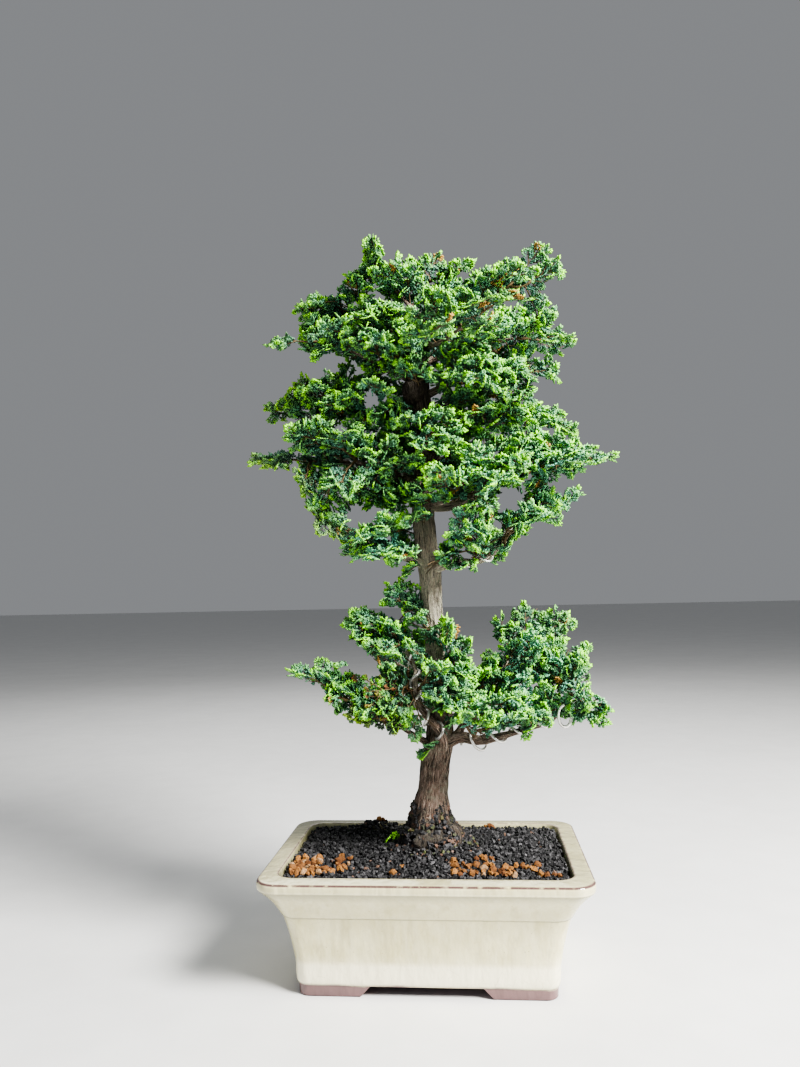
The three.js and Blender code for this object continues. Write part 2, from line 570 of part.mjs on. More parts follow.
/** A shoot: its centre line, the plane that it lies in, and the fronds along it from the tip back. */
function shootOf(root, leaving, place, keys, forked) {
  const tip = vector(place);
  const slim = place[3] ?? 1;
  const way = tip.clone().sub(root).normalize();
  const plane = new THREE.Vector3().crossVectors(way, leaving);
  if (plane.length() < 0.3) plane.copy(UP).addScaledVector(way, -way.z);
  if (plane.dot(forked ? forked.plane : UP) < 0) plane.negate();
  plane.normalize().addScaledVector(forked ? forked.plane : plane, STEM.blend).normalize();
  const curve = stemCurve(root, leaving, tip, slim);
  const end = curve.getPoint(1);
  const fronds = [{ t: 1, hand: 0, forward: tip.clone().sub(end), length: tip.distanceTo(end) }];
  const count = THREE.MathUtils.clamp(Math.round(curve.getLength() / STEM.pitch), 1, 2);
  for (let i = 1; i <= count; i += 1) {
    const t = 1 - i * (0.5 - 0.1 * count);
    const { forward: along, side } = frameOf(curve.getTangentAt(t), plane);
    const hand = (i + keys[0]) % 2 ? 1 : -1;
    const lean = radians(lerp(...STEM.lean, draw(...keys, 14, i)));
    const forward = along.multiplyScalar(Math.cos(lean)).addScaledVector(side, hand * Math.sin(lean));
    const full = FROND.length * lerp(...STEM.sideLength, draw(...keys, 15, i));
    fronds.push({ t, hand, forward, length: slim * Math.min(full, root.distanceTo(tip) + STEM.spare) });
  }
  fronds.forEach((frond, i) => {
    const roll = radians(STEM.roll * (2 * draw(...keys, 16, i) - 1));
    const up = plane.clone().applyAxisAngle(frond.forward.clone().normalize(), roll);
    Object.assign(frond, { at: curve.getPointAt(frond.t), plane: up, keys: [...keys, 40 + i] });
  });
  return { curve, plane, fronds, forked };
}

/** The frond in one of its bends: lifted and swung about its base, and made smaller. */
function bend(frond, size, lift, swing) {
  const frame = frameOf(frond.forward, frond.plane);
  const forward = frame.forward.clone().applyAxisAngle(frame.side, radians(-lift))
    .applyAxisAngle(frame.up, radians(swing));
  const up = frame.up.clone().applyAxisAngle(frame.side, radians(-lift));
  return { ...frond, frame: frameOf(forward, up), length: frond.length * size };
}

/** Grows a stem from a pair of places; returns the pair at each place that carries something. */
function growStem(sheet, root, { curve, plane }, places, pad = 0) {
  const seats = new Map();
  const half = STEM.halfWidth / curve.getLength();
  const pairAt = (t) => {
    const { side, up } = frameOf(curve.getTangentAt(t), plane);
    const edge = (hand) => curve.getPointAt(t).addScaledVector(side, hand * (STEM.halfWidth + pad));
    return [-1, 1].map((hand) => sheet.place(edge(hand), up, STEM.thickness + 2 * pad));
  };
  let pair = root ?? pairAt(0);
  for (const { t, hand } of [...places].sort((a, b) => a.t - b.t)) {
    const first = t === 1 ? null : pairAt(t - half);
    if (first) {
      sheet.strip(pair, first);
      pair = first;
    }
    const next = pairAt(t === 1 ? 1 : t + half);
    sheet.strip(pair, next);
    if (t === 1) seats.set(t, next);
    else seats.set(t, hand > 0 ? [next[1], pair[1]] : [pair[0], next[0]]);
    pair = next;
  }
  return seats;
}

function boxesMeet(a, b) {
  return [0, 1, 2].every((axis) => a.min[axis] <= b.max[axis] && b.min[axis] <= a.max[axis]);
}

/** True where two solids share any space. */
function meets(a, b) {
  if (!boxesMeet(a.boundingBox(), b.boundingBox())) return false;
  return !a.intersect(b).isEmpty();
}

/** The first bend of a frond that keeps clear of everything given, or nothing. */
function clearFrond(frond, others, siblings, own) {
  for (const size of BEND.sizes) {
    for (const lift of BEND.lifts) {
      for (const swing of BEND.swings) {
        const bent = bend(frond, size, lift, swing);
        const room = frondSolid(bent, GAP);
        if (others.some((other) => meets(room, other))) continue;
        if (meets(frondSolid(bent, GAP, STEM.neck), own)) continue;
        const beyond = frondSolid(bent, GAP, STEM.halfWidth);
        if (!siblings.some((other) => meets(beyond, other))) return bent;
      }
    }
  }
  return null;
}

/** The shoots of one spray; the first starts just off the wood and the second forks from it. */
function planSpray([name, branch, t, ...tips], index, obstacles) {
  const clear = (shoot) => !obstacles.some((obstacle) => meets(stemSolid(shoot), obstacle));
  const [first, second] = tips;
  const along = limbs[branch].getTangentAt(t);
  const centre = limbs[branch].getPointAt(t);
  const away = t === 1 ? along : vector(first).sub(centre).projectOnPlane(along).normalize();
  const skin = t === 1 ? GAP : limbRadius(branch, t);
  let shoot = null;
  for (let off = skin; !shoot && off < skin + STEM.furthest; off += STEM.step) {
    const start = shootOf(centre.clone().addScaledVector(away, off), away, first, [index, 0]);
    if (clear(start)) shoot = start;
  }
  if (!shoot) throw new Error(`${name} cannot start clear of the wood`);
  if (!second) return [shoot];
  for (const forkT of STEM.forks) {
    const { side } = frameOf(shoot.curve.getTangentAt(forkT), shoot.plane);
    const hand = side.dot(vector(second).sub(vector(first))) > 0 ? 1 : -1;
    const root = shoot.curve.getPointAt(forkT).addScaledVector(side, hand * STEM.halfWidth);
    const forked = { t: forkT, hand, plane: shoot.plane };
    const fork = shootOf(root, side.multiplyScalar(hand), second, [index, 1], forked);
    if (clear(fork)) return [shoot, fork];
  }
  throw new Error(`${name} cannot fork clear of the wood`);
}

function stemSolid(shoot, pad = 0) {
  const sheet = new Sheet();
  growStem(sheet, null, shoot, shoot.fronds, pad);
  return sheet.solid();
}

/** One spray as a single sheet: its stems and the fronds that were found room for. */
function makeSpray(shoots) {
  const sheet = new Sheet();
  const [main, fork] = shoots;
  const carried = fork ? [...main.fronds, fork.forked] : main.fronds;
  const seats = growStem(sheet, null, main, carried);
  main.placed.forEach((frond) => growFrond(sheet, seats.get(frond.t), frond));
  if (fork) {
    const forkSeats = growStem(sheet, seats.get(fork.forked.t), fork, fork.fronds);
    fork.placed.forEach((frond) => growFrond(sheet, forkSeats.get(frond.t), frond));
  }
  return sheet.solid();
}

function makeFoliage(obstacles) {
  const sprays = SPRAYS.map((spray, index) => planSpray(spray, index, obstacles));
  const rooms = sprays.map((shoots) => shoots.map((shoot) => stemSolid(shoot, GAP)));
  sprays.forEach((shoots, index) => {
    for (const [which, shoot] of shoots.entries()) {
      const own = rooms[index][which];
      shoot.placed = [];
      for (const frond of shoot.fronds) {
        const others = [...obstacles, ...rooms.filter((_, i) => i !== index).flat()];
        const siblings = rooms[index].filter((room) => room !== own);
        const bent = clearFrond(frond, others, siblings, own);
        if (!bent) continue;
        shoot.placed.push(bent);
        rooms[index].push(frondSolid(bent));
      }
    }
  });
  return sprays.map((shoots, index) => meshOf(`foliage_${SPRAYS[index][0]}`, makeSpray(shoots), LEAF));
}

// ---------------------------------------------------------------- the object

const bonsai = new THREE.Group();
const woodRoom = makeWood(WOOD.margin);
const wires = WIRES.map((wire) => makeWire(wire).subtract(woodRoom));
const wireRooms = WIRES.map((wire) => makeWire(wire, GAP));

bonsai.add(meshOf('pot', makePot(), GLAZE));
bonsai.add(meshOf('drain_net_left', makeDrainNet(-1), NET));
bonsai.add(meshOf('drain_net_right', makeDrainNet(1), NET));
bonsai.add(meshOf('soil', makeSoil(woodRoom), EARTH));
GRANULE_PATCHES.forEach((patch, index) => {
  bonsai.add(meshOf(patch.name, makeGranules(patch, index), FIRED));
});
bonsai.add(meshOf('trunk_and_branches', makeWood(0), BARK));
wires.forEach((wire, index) => bonsai.add(meshOf(WIRES[index].name, wire, WIRE)));
bonsai.add(...makeFoliage([woodRoom, ...wireRooms]));

export default bonsai;
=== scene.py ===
"""Hinoki cypress bonsai in its glazed pot: fine foliage, bark, soil, wires, finishes, light and camera.

Lengths are in millimetres until a piece is finished, when its mesh is scaled to metres.
"""

import math

import bmesh
import bpy
import numpy as np
from mathutils import Matrix, Quaternion, Vector, noise
from mathutils.bvhtree import BVHTree


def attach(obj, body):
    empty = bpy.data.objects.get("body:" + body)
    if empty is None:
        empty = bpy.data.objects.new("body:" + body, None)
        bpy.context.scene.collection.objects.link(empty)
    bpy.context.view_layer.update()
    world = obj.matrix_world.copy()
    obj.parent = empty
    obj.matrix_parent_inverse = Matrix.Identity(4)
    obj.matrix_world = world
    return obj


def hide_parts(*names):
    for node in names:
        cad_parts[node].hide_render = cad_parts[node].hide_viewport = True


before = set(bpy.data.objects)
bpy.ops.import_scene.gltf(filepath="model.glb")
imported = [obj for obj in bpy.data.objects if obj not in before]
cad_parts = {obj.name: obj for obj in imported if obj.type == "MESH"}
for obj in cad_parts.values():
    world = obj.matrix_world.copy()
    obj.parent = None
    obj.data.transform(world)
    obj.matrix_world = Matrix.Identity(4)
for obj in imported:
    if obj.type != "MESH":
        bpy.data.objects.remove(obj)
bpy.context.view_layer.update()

MM = 0.001
UP = Vector((0, 0, 1))
TURN = 2 * math.pi

# ---------------------------------------------------------------- sizes shared with the frame

POT = {"width": 250, "depth": 178, "height": 91, "corner": 18, "lip": 8, "rim": 15, "cove": 16,
       "groove": 30.5, "base": 27, "band": 23, "hollow": (0.8, 1.4), "wall": 8, "floor": 8}
FOOT = {"height": 8, "wall": 16, "gap_x": 42, "gap_y": 22}
DRAIN = {"radius": 11, "x": 46}
SOIL = {"below": 3.5, "mound": 12, "mound_radius": 38, "inset": 17.1, "heap": (-50, 66, 7, 15),
        "wall_top": 85, "under_grains": 1.2, "bed_rings": 15}
TRUNK = [
    (3, 5, 80, 17), (3, 5, 92, 24), (3, 5, 101, 25), (2, 5, 110, 19), (2.5, 4, 120, 15), (4, 4, 134, 12),
    (6, 4, 153, 11), (10, 3, 173, 11.5), (12, 2, 192, 9.5), (11, 0, 227, 8.6), (10, 0, 260, 8.4),
    (7, 2, 293, 8.2), (6, 3, 319, 9), (3, 3, 344, 8.4), (1, 2, 370, 9), (3, 0, 395, 8.2),
    (5, 0, 438, 7), (3, 0, 464, 7.5), (2, 2, 490, 6), (7, 5, 526, 4.6), (11, 6, 552, 3.2), (12, 7, 566, 2),
]
KNOB = {"place": (-3, -3, 472), "radius": 10.5, "stretch": (1, 0.9, 1.25), "room": 13}
STUB = {"points": [(10, 0, 262), (4, -11, 272), (-1, -14, 277)], "radii": (2.6, 1.4)}
TIP_RADIUS = 1.1
BRANCHES = {
    "wiredLeft": (4.8, (10, 3, 165), (14, -9, 181), (6, -15, 195), (-3, -16, 207), (-7, -14, 221),
                  (-8, -8, 239), (-20, 0, 256), (-30, 2, 261)),
    "lowLeft": (2.8, (8, 3, 171), (-12, -14, 186), (-32, -22, 201), (-57, -30, 213)),
    "wiredRight": (5.6, (11, 3, 172), (28, -5, 181), (43, -13, 180), (58, -19, 183), (83, -25, 191),
                   (100, -28, 197), (108, -28, 206), (111, -28, 214)),
    "innerRight": (3, (24, -3, 180), (38, 4, 200), (54, 9, 218), (70, 13, 242)),
    "lowBack": (3.2, (11, 2, 198), (12, 22, 208), (24, 42, 210), (42, 58, 204)),
    "lowBackLeft": (2.6, (11, 2, 212), (-4, 20, 224), (-16, 34, 232), (-28, 48, 238)),
    "leftArm": (4.2, (6, 3, 322), (-10, -7, 328), (-28, -13, 334), (-50, -19, 347)),
    "rightArm": (4.2, (5, 3, 318), (28, -9, 324), (49, -14, 325), (62, -16, 333), (78, -17, 357)),
    "darkRight": (5.6, (1, 2, 374), (26, -2, 372), (43, -4, 379), (57, -6, 389), (89, -10, 401)),
    "midLeft": (4.4, (3, 0, 390), (-22, -4, 401), (-50, -8, 409), (-84, -10, 412)),
    "backArm": (3.6, (3, 2, 400), (6, 24, 412), (14, 46, 420), (18, 65, 424)),
    "highRight": (4, (4, 0, 428), (30, 12, 440), (62, 20, 446), (88, 23, 446)),
    "highLeft": (4, (5, 0, 432), (-20, 8, 446), (-45, 14, 455), (-69, 20, 462)),
    "crownRight": (3.4, (3, 1, 466), (27, -4, 475), (46, -8, 476), (66, -11, 476)),
    "crownLeft": (3.6, (2, 2, 478), (-28, -4, 492), (-48, -7, 503), (-67, -8, 511)),
    "shoulderRight": (3.2, (3, 3, 496), (36, 10, 509), (60, 15, 516), (83, 18, 519)),
    "shoulderLeft": (3.2, (4, 3, 508), (-20, 12, 530), (-40, 17, 542), (-59, 21, 550)),
    "crownFront": (3, (6, 4, 512), (18, -26, 504), (32, -46, 506), (44, -60, 510)),
    "crownBack": (3, (6, 4, 514), (4, 30, 530), (-2, 48, 538), (4, 61, 543)),
    "topRight": (3, (8, 5, 528), (36, 0, 540), (56, -3, 547), (73, -5, 554)),
    "topLeft": (2.8, (8, 5, 532), (-6, 1, 547), (-23, -3, 567)),
}
# Wires: node, branch, the stretch that is wound, turns, wire radius, and where a turn hangs loose.
WIRES = [
    ("wire_left_branch", "wiredLeft", 0.18, 0.88, 5, 1.2, 0.3),
    ("wire_right_branch", "wiredRight", 0.17, 0.96, 5, 1.1, 0.36),
    ("wire_right_arm", "rightArm", 0.23, 0.95, 4, 0.9, 0.7),
    ("wire_left_arm", "midLeft", 0.22, 0.93, 3, 1, 0.5),
]
# The open ring that a wire's end is bent into below its branch.
WIRE_RING = {"branch": "wiredRight", "centre": (110, -37, 202.5), "half": (5, 8.5), "pitch": 5, "points": 16}
# How wires are wound: points on each turn, gap to the wood, how far the loose turn sags, over what share of
# the branch, and the points round the wire.
WINDING = {"points": 14, "gap": 0.25, "sag": 4.5, "sag_reach": 0.05, "sides": 8}
# Sprays: name, branch, place along it, bloom (how blue and waxy), and the outermost point of each shoot. A
# slim shoot has a fourth number, which is the length of its side fronds as a share of the usual.
SPRAYS = [
    ("low_left_tip", "lowLeft", 1, 0.3, (-108, -30, 246, 0.55), (-74, -36, 221, 0.5)),
    ("low_left_under", "lowLeft", 0.62, 0.2, (-52, -28, 211, 0.6), (-21, -40, 196, 0.8)),
    ("left_cluster_top", "wiredLeft", 1, 0.2, (-66, 8, 285), (-55, -28, 263)),
    ("left_cluster_front", "wiredLeft", 0.92, 0.4, (-28, -26, 277), (-38, -52, 252)),
    ("left_cluster_low", "wiredLeft", 0.69, 0.1, (-32, -26, 222), (-18, -54, 211)),
    ("left_cluster_back", "lowBackLeft", 1, 0.2, (-46, 72, 257), (-33, 52, 226)),
    ("trunk_front", "wiredLeft", 0.55, 0.3, (14, -62, 250), (26, -60, 216)),
    ("trunk_right", "trunk", 0.32, 0.2, (35, -22, 249), (25, -36, 272)),
    ("trunk_left", "trunk", 0.42, 0.5, (-32, -12, 301)),
    ("right_cluster_inner", "innerRight", 0.37, 0.4, (30, -16, 240), (55, 34, 226)),
    ("right_cluster_front", "wiredRight", 0.3, 0.5, (66, -70, 206, 0.6), (42, -76, 216, 0.8)),
    ("right_cluster_outer", "wiredRight", 0.53, 0.4, (98, -60, 212), (78, -50, 224)),
    ("right_tuft", "innerRight", 1, 0.2, (129, 16, 279), (73, -4, 269, 0.6)),
    ("right_tuft_under", "innerRight", 0.67, 0.8, (112, -30, 242), (92, -28, 264)),
    ("right_end", "wiredRight", 1, 0.5, (123, -30, 254), (142, -52, 206, 0.5)),
    ("low_back_right", "lowBack", 1, 0.3, (84, 72, 212), (116, 50, 236)),
    ("low_back", "lowBack", 0.6, 0.3, (8, 96, 236), (44, 92, 200)),
    ("right_arm_inner", "rightArm", 0.49, 0.7, (26, -36, 346), (47, -54, 355)),
    ("right_arm_front", "rightArm", 0.8, 0.8, (79, -54, 354), (68, -42, 333)),
    ("right_arm_tip", "rightArm", 1, 0.6, (133, -22, 374, 0.4), (107, -38, 392, 0.8)),
    ("dark_right_tip", "darkRight", 1, 0.6, (149, -60, 405), (120, -54, 395)),
    ("dark_right_mid", "darkRight", 0.63, 0.7, (82, -52, 412), (64, -62, 390)),
    ("dark_right_near", "darkRight", 0.31, 0.4, (24, -66, 392), (42, -82, 403)),
    ("high_right_tip", "highRight", 1, 0.3, (137, 20, 435), (119, 34, 456)),
    ("high_right_front", "highRight", 0.7, 0.3, (84, -26, 451), (47, -50, 446)),
    ("crown_right_tip", "crownRight", 1, 0.3, (104, -30, 469), (120, -14, 484)),
    ("crown_right_front", "crownRight", 0.51, 0.3, (34, -60, 474), (66, -62, 466)),
    ("shoulder_right_tip", "shoulderRight", 1, 0.2, (138, 22, 512), (117, 18, 541)),
    ("top_right_tip", "topRight", 1, 0.3, (112, -10, 591), (126, -20, 566)),
    ("crown_front_tip", "crownFront", 1, 0.1, (85, -110, 519), (52, -106, 490)),
    ("leader", "trunk", 1, 0.1, (4, -4, 583), (30, -8, 571)),
    ("leader_right", "topRight", 0.56, 0.1, (47, 16, 573), (73, 28, 574)),
    ("top_left_tip", "topLeft", 1, 0.1, (-38, -8, 594), (-60, 2, 574)),
    ("shoulder_left_tip", "shoulderLeft", 1, 0.1, (-114, 30, 564), (-85, 14, 561)),
    ("shoulder_left_front", "shoulderLeft", 0.53, 0.2, (-23, -44, 537), (-48, -50, 528)),
    ("crown_left_tip", "crownLeft", 1, 0.1, (-130, -10, 522, 0.8), (-82, -26, 501, 0.7)),
    ("high_left_tip", "highLeft", 1, 0.2, (-112, 12, 490), (-142, 30, 472)),
    ("high_left_front", "highLeft", 0.62, 0.4, (-56, -46, 467), (-28, -56, 474)),
    ("mid_left_tip", "midLeft", 1, 0.4, (-151, 20, 424, 0.6), (-94, -36, 387)),
    ("mid_left_front", "midLeft", 0.67, 0.4, (-101, -40, 435), (-60, -66, 382)),
    ("left_arm_tip", "leftArm", 1, 0.4, (-81, -20, 368), (-62, -16, 345)),
    ("left_arm_front", "leftArm", 0.56, 1.0, (-38, -54, 368), (-12, -44, 337)),
    ("heart_front", "trunk", 0.73, 0.3, (-4, -60, 444), (12, -72, 410)),
    ("back_left", "backArm", 0.78, 0.4, (-40, 100, 402), (-26, 90, 448)),
    ("back_right", "backArm", 1, 0.4, (70, 94, 416), (24, 110, 450)),
    ("crown_back_left", "crownBack", 0.78, 0.2, (-46, 84, 554), (-8, 100, 575)),
    ("crown_back_right", "crownBack", 1, 0.2, (70, 82, 547), (48, 95, 520)),
    ("shoulder_back", "shoulderRight", 0.75, 0.3, (108, 76, 508), (80, 90, 490)),
]
# Side shoots along the limbs, between the sprays, as from, to, number, length and how steeply they rise.
# The last three are all on the trunk.
CLOTHED = {
    "lowLeft": (0.45, 0.95, 3, 30, 10), "wiredLeft": (0.6, 0.95, 4, 30, 25),
    "wiredRight": (0.3, 0.95, 6, 34, 30), "innerRight": (0.25, 0.95, 5, 36, 25),
    "lowBack": (0.4, 0.95, 4, 36, 20), "lowBackLeft": (0.4, 0.95, 4, 34, 20),
    "leftArm": (0.2, 0.95, 8, 44, 20), "rightArm": (0.25, 0.95, 7, 38, 15),
    "darkRight": (0.2, 0.95, 10, 42, 25), "midLeft": (0.15, 0.95, 12, 46, 35),
    "backArm": (0.3, 0.95, 6, 42, 15), "highRight": (0.2, 0.95, 8, 42, 15),
    "highLeft": (0.15, 0.95, 10, 44, 22), "crownRight": (0.2, 0.95, 7, 42, 15),
    "crownLeft": (0.15, 0.95, 9, 42, 18), "shoulderRight": (0.2, 0.95, 8, 42, 15),
    "shoulderLeft": (0.2, 0.95, 8, 42, 15), "crownFront": (0.15, 0.95, 7, 40, 20),
    "crownBack": (0.2, 0.95, 6, 40, 20), "topRight": (0.2, 0.95, 7, 38, 25),
    "topLeft": (0.2, 0.95, 5, 34, 25), "trunk": (0.52, 0.99, 26, 42, 15),
    "low_trunk": (0.23, 0.34, 8, 32, 20), "mid_trunk": (0.62, 0.78, 14, 30, 10),
}
# Single side shoots that close the foliage between the sprays: place along the limb, and the shoot's tip.
CLOSING = {
    "midLeft": [
        (0.66, (-57, -30, 376)), (0.5, (-42, -34, 379)), (0.36, (-28, -32, 374)), (0.2, (-12, -34, 378)),
        (0.44, (-34, -46, 388)), (0.55, (-41, -22, 445)), (0.12, (-18, -30, 392)), (0.85, (-101, -16, 408)),
        (0.8, (-75, -24, 407)),
    ],
    "leftArm": [(0.95, (-64, -26, 376)), (0.8, (-50, -32, 366)), (0.1, (-11, -16, 321))],
    "highLeft": [
        (0.78, (-67, -5, 493)), (0.92, (-60, 10, 490)), (0.6, (-50, -10, 484)), (1, (-114, 10, 450)),
    ],
    "darkRight": [
        (0.72, (84, -26, 431)), (0.9, (106, -25, 427)), (0.5, (66, -28, 424)), (1, (121, -20, 421)),
        (0.82, (98, -30, 414)), (1, (126, -30, 419)), (1, (124, -46, 393)),
    ],
    "rightArm": [(1, (80, -24, 387)), (1, (103, -34, 381)), (0.6, (61, -45, 354)), (0.35, (20, -24, 338))],
    "topRight": [(1, (87, -10, 580)), (0.25, (35, -6, 567))],
    "topLeft": [(0.9, (-52, 0, 583))],
    "shoulderLeft": [(0.9, (-108, 20, 548)), (0.8, (-98, 12, 540)), (0.98, (-112, 24, 549))],
    "crownLeft": [(0.95, (-104, -5, 529)), (0.9, (-96, -12, 522))],
    "trunk": [
        (0.94, (31, -4, 565)), (0.8, (-9, -32, 510)), (0.82, (4, -36, 512)), (0.81, (-18, -26, 514)),
        (0.97, (-6, -4, 588)), (0.62, (2, -36, 392)), (0.6, (10, -38, 383)),
    ],
    "innerRight": [(1, (108, 8, 272)), (0.92, (116, 0, 254))],
    "wiredRight": [
        (1, (131, -30, 238)), (0.96, (138, -50, 202)), (0.94, (122, -38, 208)), (1, (107, -26, 258)),
    ],
    "lowLeft": [
        (1, (-90, -28, 243)), (0.96, (-75, -28, 237)), (0.9, (-61, -26, 238)), (0.8, (-56, -30, 231)),
        (0.66, (-44, -32, 221)), (0.78, (-51, -36, 215)), (0.05, (4, -22, 178)),
    ],
    "low_trunk": [
        (0.22, (28, -36, 202)), (0.26, (30, -36, 226)), (0.3, (22, -40, 246)), (0.42, (-21, -14, 299)),
        (0.41, (-12, -12, 294)),
    ],
}
# Openings in the foliage as they are seen from the front: x and height on a plane well behind the tree, and
# radius.
BEHIND = 130
OPENINGS = [
    (-74, 236, 7), (134, 250, 6), (125, 199, 6), (-73, 378, 14), (-59, 376, 9), (80, 390, 15),
    (12, 374, 12), (8, 352, 9), (-42, 354, 6), (-129, 540, 14), (-114, 528, 11), (149, 375, 15),
    (131, 406, 12), (133, 600, 13), (51, 272, 12), (54, 254, 11), (40, 262, 9), (-76, 235, 15),
    (-87, 244, 14), (66, 152, 17), (78, 157, 12), (-111, 184, 12), (-86, 166, 12), (-93, 345, 9),
    (109, 657, 10), (-57, 673, 8), (9, 653, 9), (-99, 617, 13), (80, 291, 13), (107, 293, 11),
    (129, 290, 11), (-36, 283, 8), (-117, 201, 11), (-133, 211, 8), (-70, 163, 10), (-31, 153, 11),
    (145, 171, 8), (169, 200, 9), (31, 267, 8), (42, 640, 7), (68, 634, 7), (143, 586, 11), (144, 533, 8),
    (115, 505, 9), (138, 485, 10), (-144, 515, 9), (-56, 495, 11), (-106, 543, 6), (-132, 376, 9),
    (-93, 332, 8), (24, 317, 9), (-63, 223, 11),
]
# Sprays with a share of brown in their leaves, and sprays that are flat, feathery plumes.
BRONZED = {"left_arm_tip": 0.3, "low_left_under": 0.35, "mid_left_tip": 0.2, "high_left_tip": 0.12}
PLUMES = {"left_arm_front", "left_arm_tip", "right_arm_front", "right_arm_tip", "dark_right_tip",
          "top_right_tip", "crown_front_tip"}
FROND = {"length": 54, "curl": 0.28, "cup": 0.5, "ruffle": 0.05, "notches": (0.18, 0.46, 0.76),
         "reach": (0.33, 0.31), "slant": 0.16}
STEM = {"half_width": 1.2, "pitch": 28, "share": 0.42, "bow": 0.2, "forks": (0.15, 0.25), "step": 0.25,
        "spare": 14, "lean": (45, 65), "side": (0.8, 1), "roll": 35, "blend": 0.7, "girth": (1.5, 0.8),
        "ring": 5, "fan_pitch": 7, "fan": 11, "fan_lean": 50, "fresh": 0.15}
# Side shoots: how they lean from the limb, how far their rise strays, their size, that of a limb's first one,
# how they roll, and how they go round the trunk and rise from it.
SHOOT = {"lean": (45, 70), "stray": 16, "size": (0.8, 1.15), "first": 0.75, "roll": 25, "round": 2.4,
         "rise": 0.35}
# Fans on a frond: distance between two, size, how it grows with the frond, lean, how much less of it when
# they aren't combed, and how they freshen outwards.
FANS = {"pitch": 6.2, "size": 9.5, "growth": 0.07, "lean": 76, "combed": 30, "fresher": 0.42}
# The bends that a frond is tried in, how far off the frame's it may be, and from where on it is near enough.
BEND = {"sizes": (1, 0.85, 0.7), "lifts": (0, 16, -16, 32, -32, 48, -48), "swings": (0, 14, -14, 28, -28),
        "furthest": 2.0, "near": 1.4}
# Seeds for all that is drawn by chance, so that each run gives the same result.
SEEDS = {"soil": 11, "grain_shapes": 12, "orange_grains": 5, "sprig": 77, "dry_twigs": 78, "sprays": 100,
         "side_shoots": 900}

# ---------------------------------------------------------------- small tools


def lerp(a, b, t):
    return a + (b - a) * t


def clamp(value, low=0.0, high=1.0):
    return max(low, min(high, value))


def draw(*keys):
    """A repeatable draw from 0 to 1 for a list of whole numbers."""
    value = 2166136261
    for key in keys:
        value = (value ^ key) * 16777619 & 0xFFFFFFFF
        value = (value ^ (value >> 15)) * 2246822519 & 0xFFFFFFFF
    return (value ^ (value >> 13)) / 4294967296


class Spline:
    """A smooth curve through points, followed along its length from 0 to 1."""

    def __init__(self, points, samples=200):
        self.points = [Vector(point[:3]) for point in points]
        self.shares = np.linspace(0, 1, samples + 1)
        marks = [self.at(t) for t in self.shares]
        self.run = np.cumsum([0.0] + [(b - a).length for a, b in zip(marks, marks[1:])])
        self.length = float(self.run[-1])

    def at(self, t):
        last = len(self.points) - 1
        index = min(int(t * last), last - 1)
        weight = t * last - index
        a, b = self.points[index], self.points[index + 1]
        before = self.points[index - 1] if index else 2 * a - b
        after = self.points[index + 2] if index + 2 <= last else 2 * b - a
        d0, d1, d2 = math.sqrt((a - before).length), math.sqrt((b - a).length), math.sqrt((after - b).length)
        leave = ((a - before) / d0 - (b - before) / (d0 + d1) + (b - a) / d1) * d1
        arrive = ((b - a) / d1 - (after - a) / (d1 + d2) + (after - b) / d2) * d1
        square, cube = weight * weight, weight ** 3
        return (a + leave * weight + (3 * (b - a) - 2 * leave - arrive) * square
                + (2 * (a - b) + leave + arrive) * cube)

    def share(self, u):
        return float(np.interp(u * self.length, self.run, self.shares))

    def place(self, u):
        return self.at(self.share(u))

    def tangent(self, u):
        t = self.share(u)
        return (self.at(min(t + 1e-3, 1)) - self.at(max(t - 1e-3, 0))).normalized()


def frame_of(forward, up):
    """Forward, side and up at right angles, with up as near as it can be to the one given."""
    ahead = forward.normalized()
    side = up.cross(ahead).normalized()
    return ahead, side, ahead.cross(side)


def turned(vector, axis, angle):
    return Quaternion(axis, angle) @ vector


def frames_along(curve, steps, start=0.0, end=1.0):
    """Matrices along a curve, with Z ahead and no twist between them."""
    spots = [lerp(start, end, i / steps) for i in range(steps + 1)]
    ahead = curve.tangent(spots[0])
    least = min(range(3), key=lambda axis: (round(abs(ahead[axis]), 6), -axis))
    helper = Vector([float(axis == least) for axis in range(3)])
    normal = ahead.cross(ahead.cross(helper).normalized())
    matrices = []
    for spot in spots:
        tangent = curve.tangent(spot)
        normal = ahead.rotation_difference(tangent) @ normal
        ahead = tangent
        turn = Matrix((normal, ahead.cross(normal), ahead)).transposed().to_4x4()
        matrices.append(Matrix.Translation(curve.place(spot)) @ turn)
    return matrices


def edges_in(geometry):
    return [part for part in geometry if isinstance(part, bmesh.types.BMEdge)]


def extruded(bm, edges):
    """The vertices and edges of a copy of some edges, joined to them by faces."""
    grown = bmesh.ops.extrude_edge_only(bm, edges=edges)["geom"]
    return [part for part in grown if isinstance(part, bmesh.types.BMVert)], edges_in(grown)


def circle(bm, sides):
    """The vertices and edges of a ring of radius 1 round the origin."""
    ring = bmesh.ops.create_circle(bm, segments=sides, radius=1)["verts"]
    return ring, list(dict.fromkeys(edge for vert in ring for edge in vert.link_edges))


